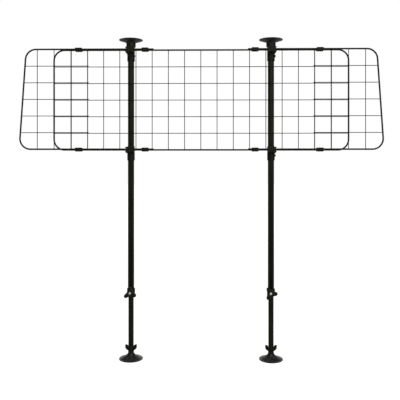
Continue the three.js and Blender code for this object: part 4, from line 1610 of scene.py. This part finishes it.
world = bpy.data.worlds.new("white_paper")
world.use_nodes = True
sky = world.node_tree
background = sky.nodes["Background"]
background.inputs["Color"].default_value = (1, 1, 1, 1)
seen = add_node(sky, "ShaderNodeTexCoord").outputs["Generated"]
backwards = add_node(sky, "ShaderNodeSeparateXYZ", {0: seen}).outputs["Y"]
on_paper = ramp(sky, backwards, paper_from, paper_full)
camera_ray, mirror_ray = rays(sky)
mirrored = mix_numbers(sky, on_paper, room_level, 1.0)
strength = mix_numbers(sky, mirror_ray, fill_level, mirrored)
strength = mix_numbers(sky, camera_ray, strength, 1.0)
sky.links.new(strength, background.inputs["Strength"])
bpy.context.scene.world = world
print("fill", fill_level, "and room", room_level)

# %% [markdown]
# The floor is matte paper that takes a soft shadow, with a glow for the camera that lifts it to
# white. The lamps fade with distance, so the glow grows with it, up to full white far away.
# Reflections find it behind the barrier only, where the paper rises.

# %% Lay the floor
paper_dark = (0.42, 0.42, 0.42)
paper_pale = (0.44, 0.44, 0.44)
near_glow, far_glow = 0.80, 1.0
glow_from, glow_full = 0.6, 3.0
rise_from, rise_full = 0.2, 1.6
floor_radius = 14.0

paper = bpy.data.materials.new("floor_paper")
paper.use_nodes = True
paper.cycles.emission_sampling = "NONE"
tree = paper.node_tree
matte = tree.nodes["Principled BSDF"]
fibres = use_effect(tree, cloudy_patches, {"Size": 0.02})
tree.links.new(blend_colours(tree, fibres, paper_dark, paper_pale), matte.inputs["Base Color"])
matte.inputs["Roughness"].default_value = 1.0
matte.inputs["Specular IOR Level"].default_value = 0.0

spot = object_place(tree)
depth = add_node(tree, "ShaderNodeSeparateXYZ", {0: spot}).outputs["Y"]
far_off = add_node(tree, "ShaderNodeVectorMath", {0: spot}, operation="LENGTH").outputs["Value"]
camera_ray, mirror_ray = rays(tree)
mirrored = calculate(tree, "MULTIPLY", mirror_ray, ramp(tree, depth, rise_from, rise_full))
lift = ramp(tree, far_off, glow_from, glow_full, near_glow, far_glow, kind="LINEAR")
glow_level = calculate(tree, "MULTIPLY", calculate(tree, "MAXIMUM", camera_ray, mirrored), lift)
glow = add_node(tree, "ShaderNodeEmission", {"Strength": glow_level}).outputs[0]
both = add_node(tree, "ShaderNodeAddShader", {0: matte.outputs[0], 1: glow}).outputs[0]
tree.links.new(both, tree.nodes["Material Output"].inputs["Surface"])

sheet = bmesh.new()
bmesh.ops.create_circle(sheet, cap_ends=True, segments=96, radius=floor_radius)
floor = new_piece("paper_floor", sheet)
floor.data.materials.append(paper)
floor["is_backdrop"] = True
print("floor of", floor_radius, "m radius")

# %% [markdown]
# Two soft boxes do the rest: a wide one in front, a little to the right, which makes the soft
# pale strip along each tube, and one above for everything that faces up.


# %% Hang the lamps
def soft_box(name, width, height, radiance, place, target):
    data = bpy.data.lights.new(name, "AREA")
    data.shape = "RECTANGLE"
    data.size = width
    data.size_y = height
    data.energy = radiance * math.pi * width * height
    lamp = bpy.data.objects.new(name, data)
    lamp.location = place
    aim = Vector(target) - Vector(place)
    lamp.rotation_euler = aim.to_track_quat("-Z", "Y").to_euler()
    lamp.visible_camera = False
    bpy.context.scene.collection.objects.link(lamp)
    return lamp


centre = (cad_low + cad_high) / 2
soft_box("front_box", width=2.8, height=2.1, radiance=1.9,
         place=(0.75, -2.0, 1.25), target=centre)
soft_box("top_box", width=2.0, height=1.4, radiance=2.0,
         place=(0.3, -0.9, 2.4), target=centre)

# %% [markdown]
# ## A last look at the sizes
# The dressed barrier must not be larger than the engineering one. The room left between the two
# boxes is printed, side by side, in millimetres.

# %% Compare the boxes and finish
look_low, look_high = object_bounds()
spare = [round(1000 * value, 2) for value in (*(look_low - cad_low), *(cad_high - look_high))]
faces = sum(len(piece.data.polygons) for piece in finished)
print("room left to the engineering box, mm:", spare, "and", faces, "faces in all")
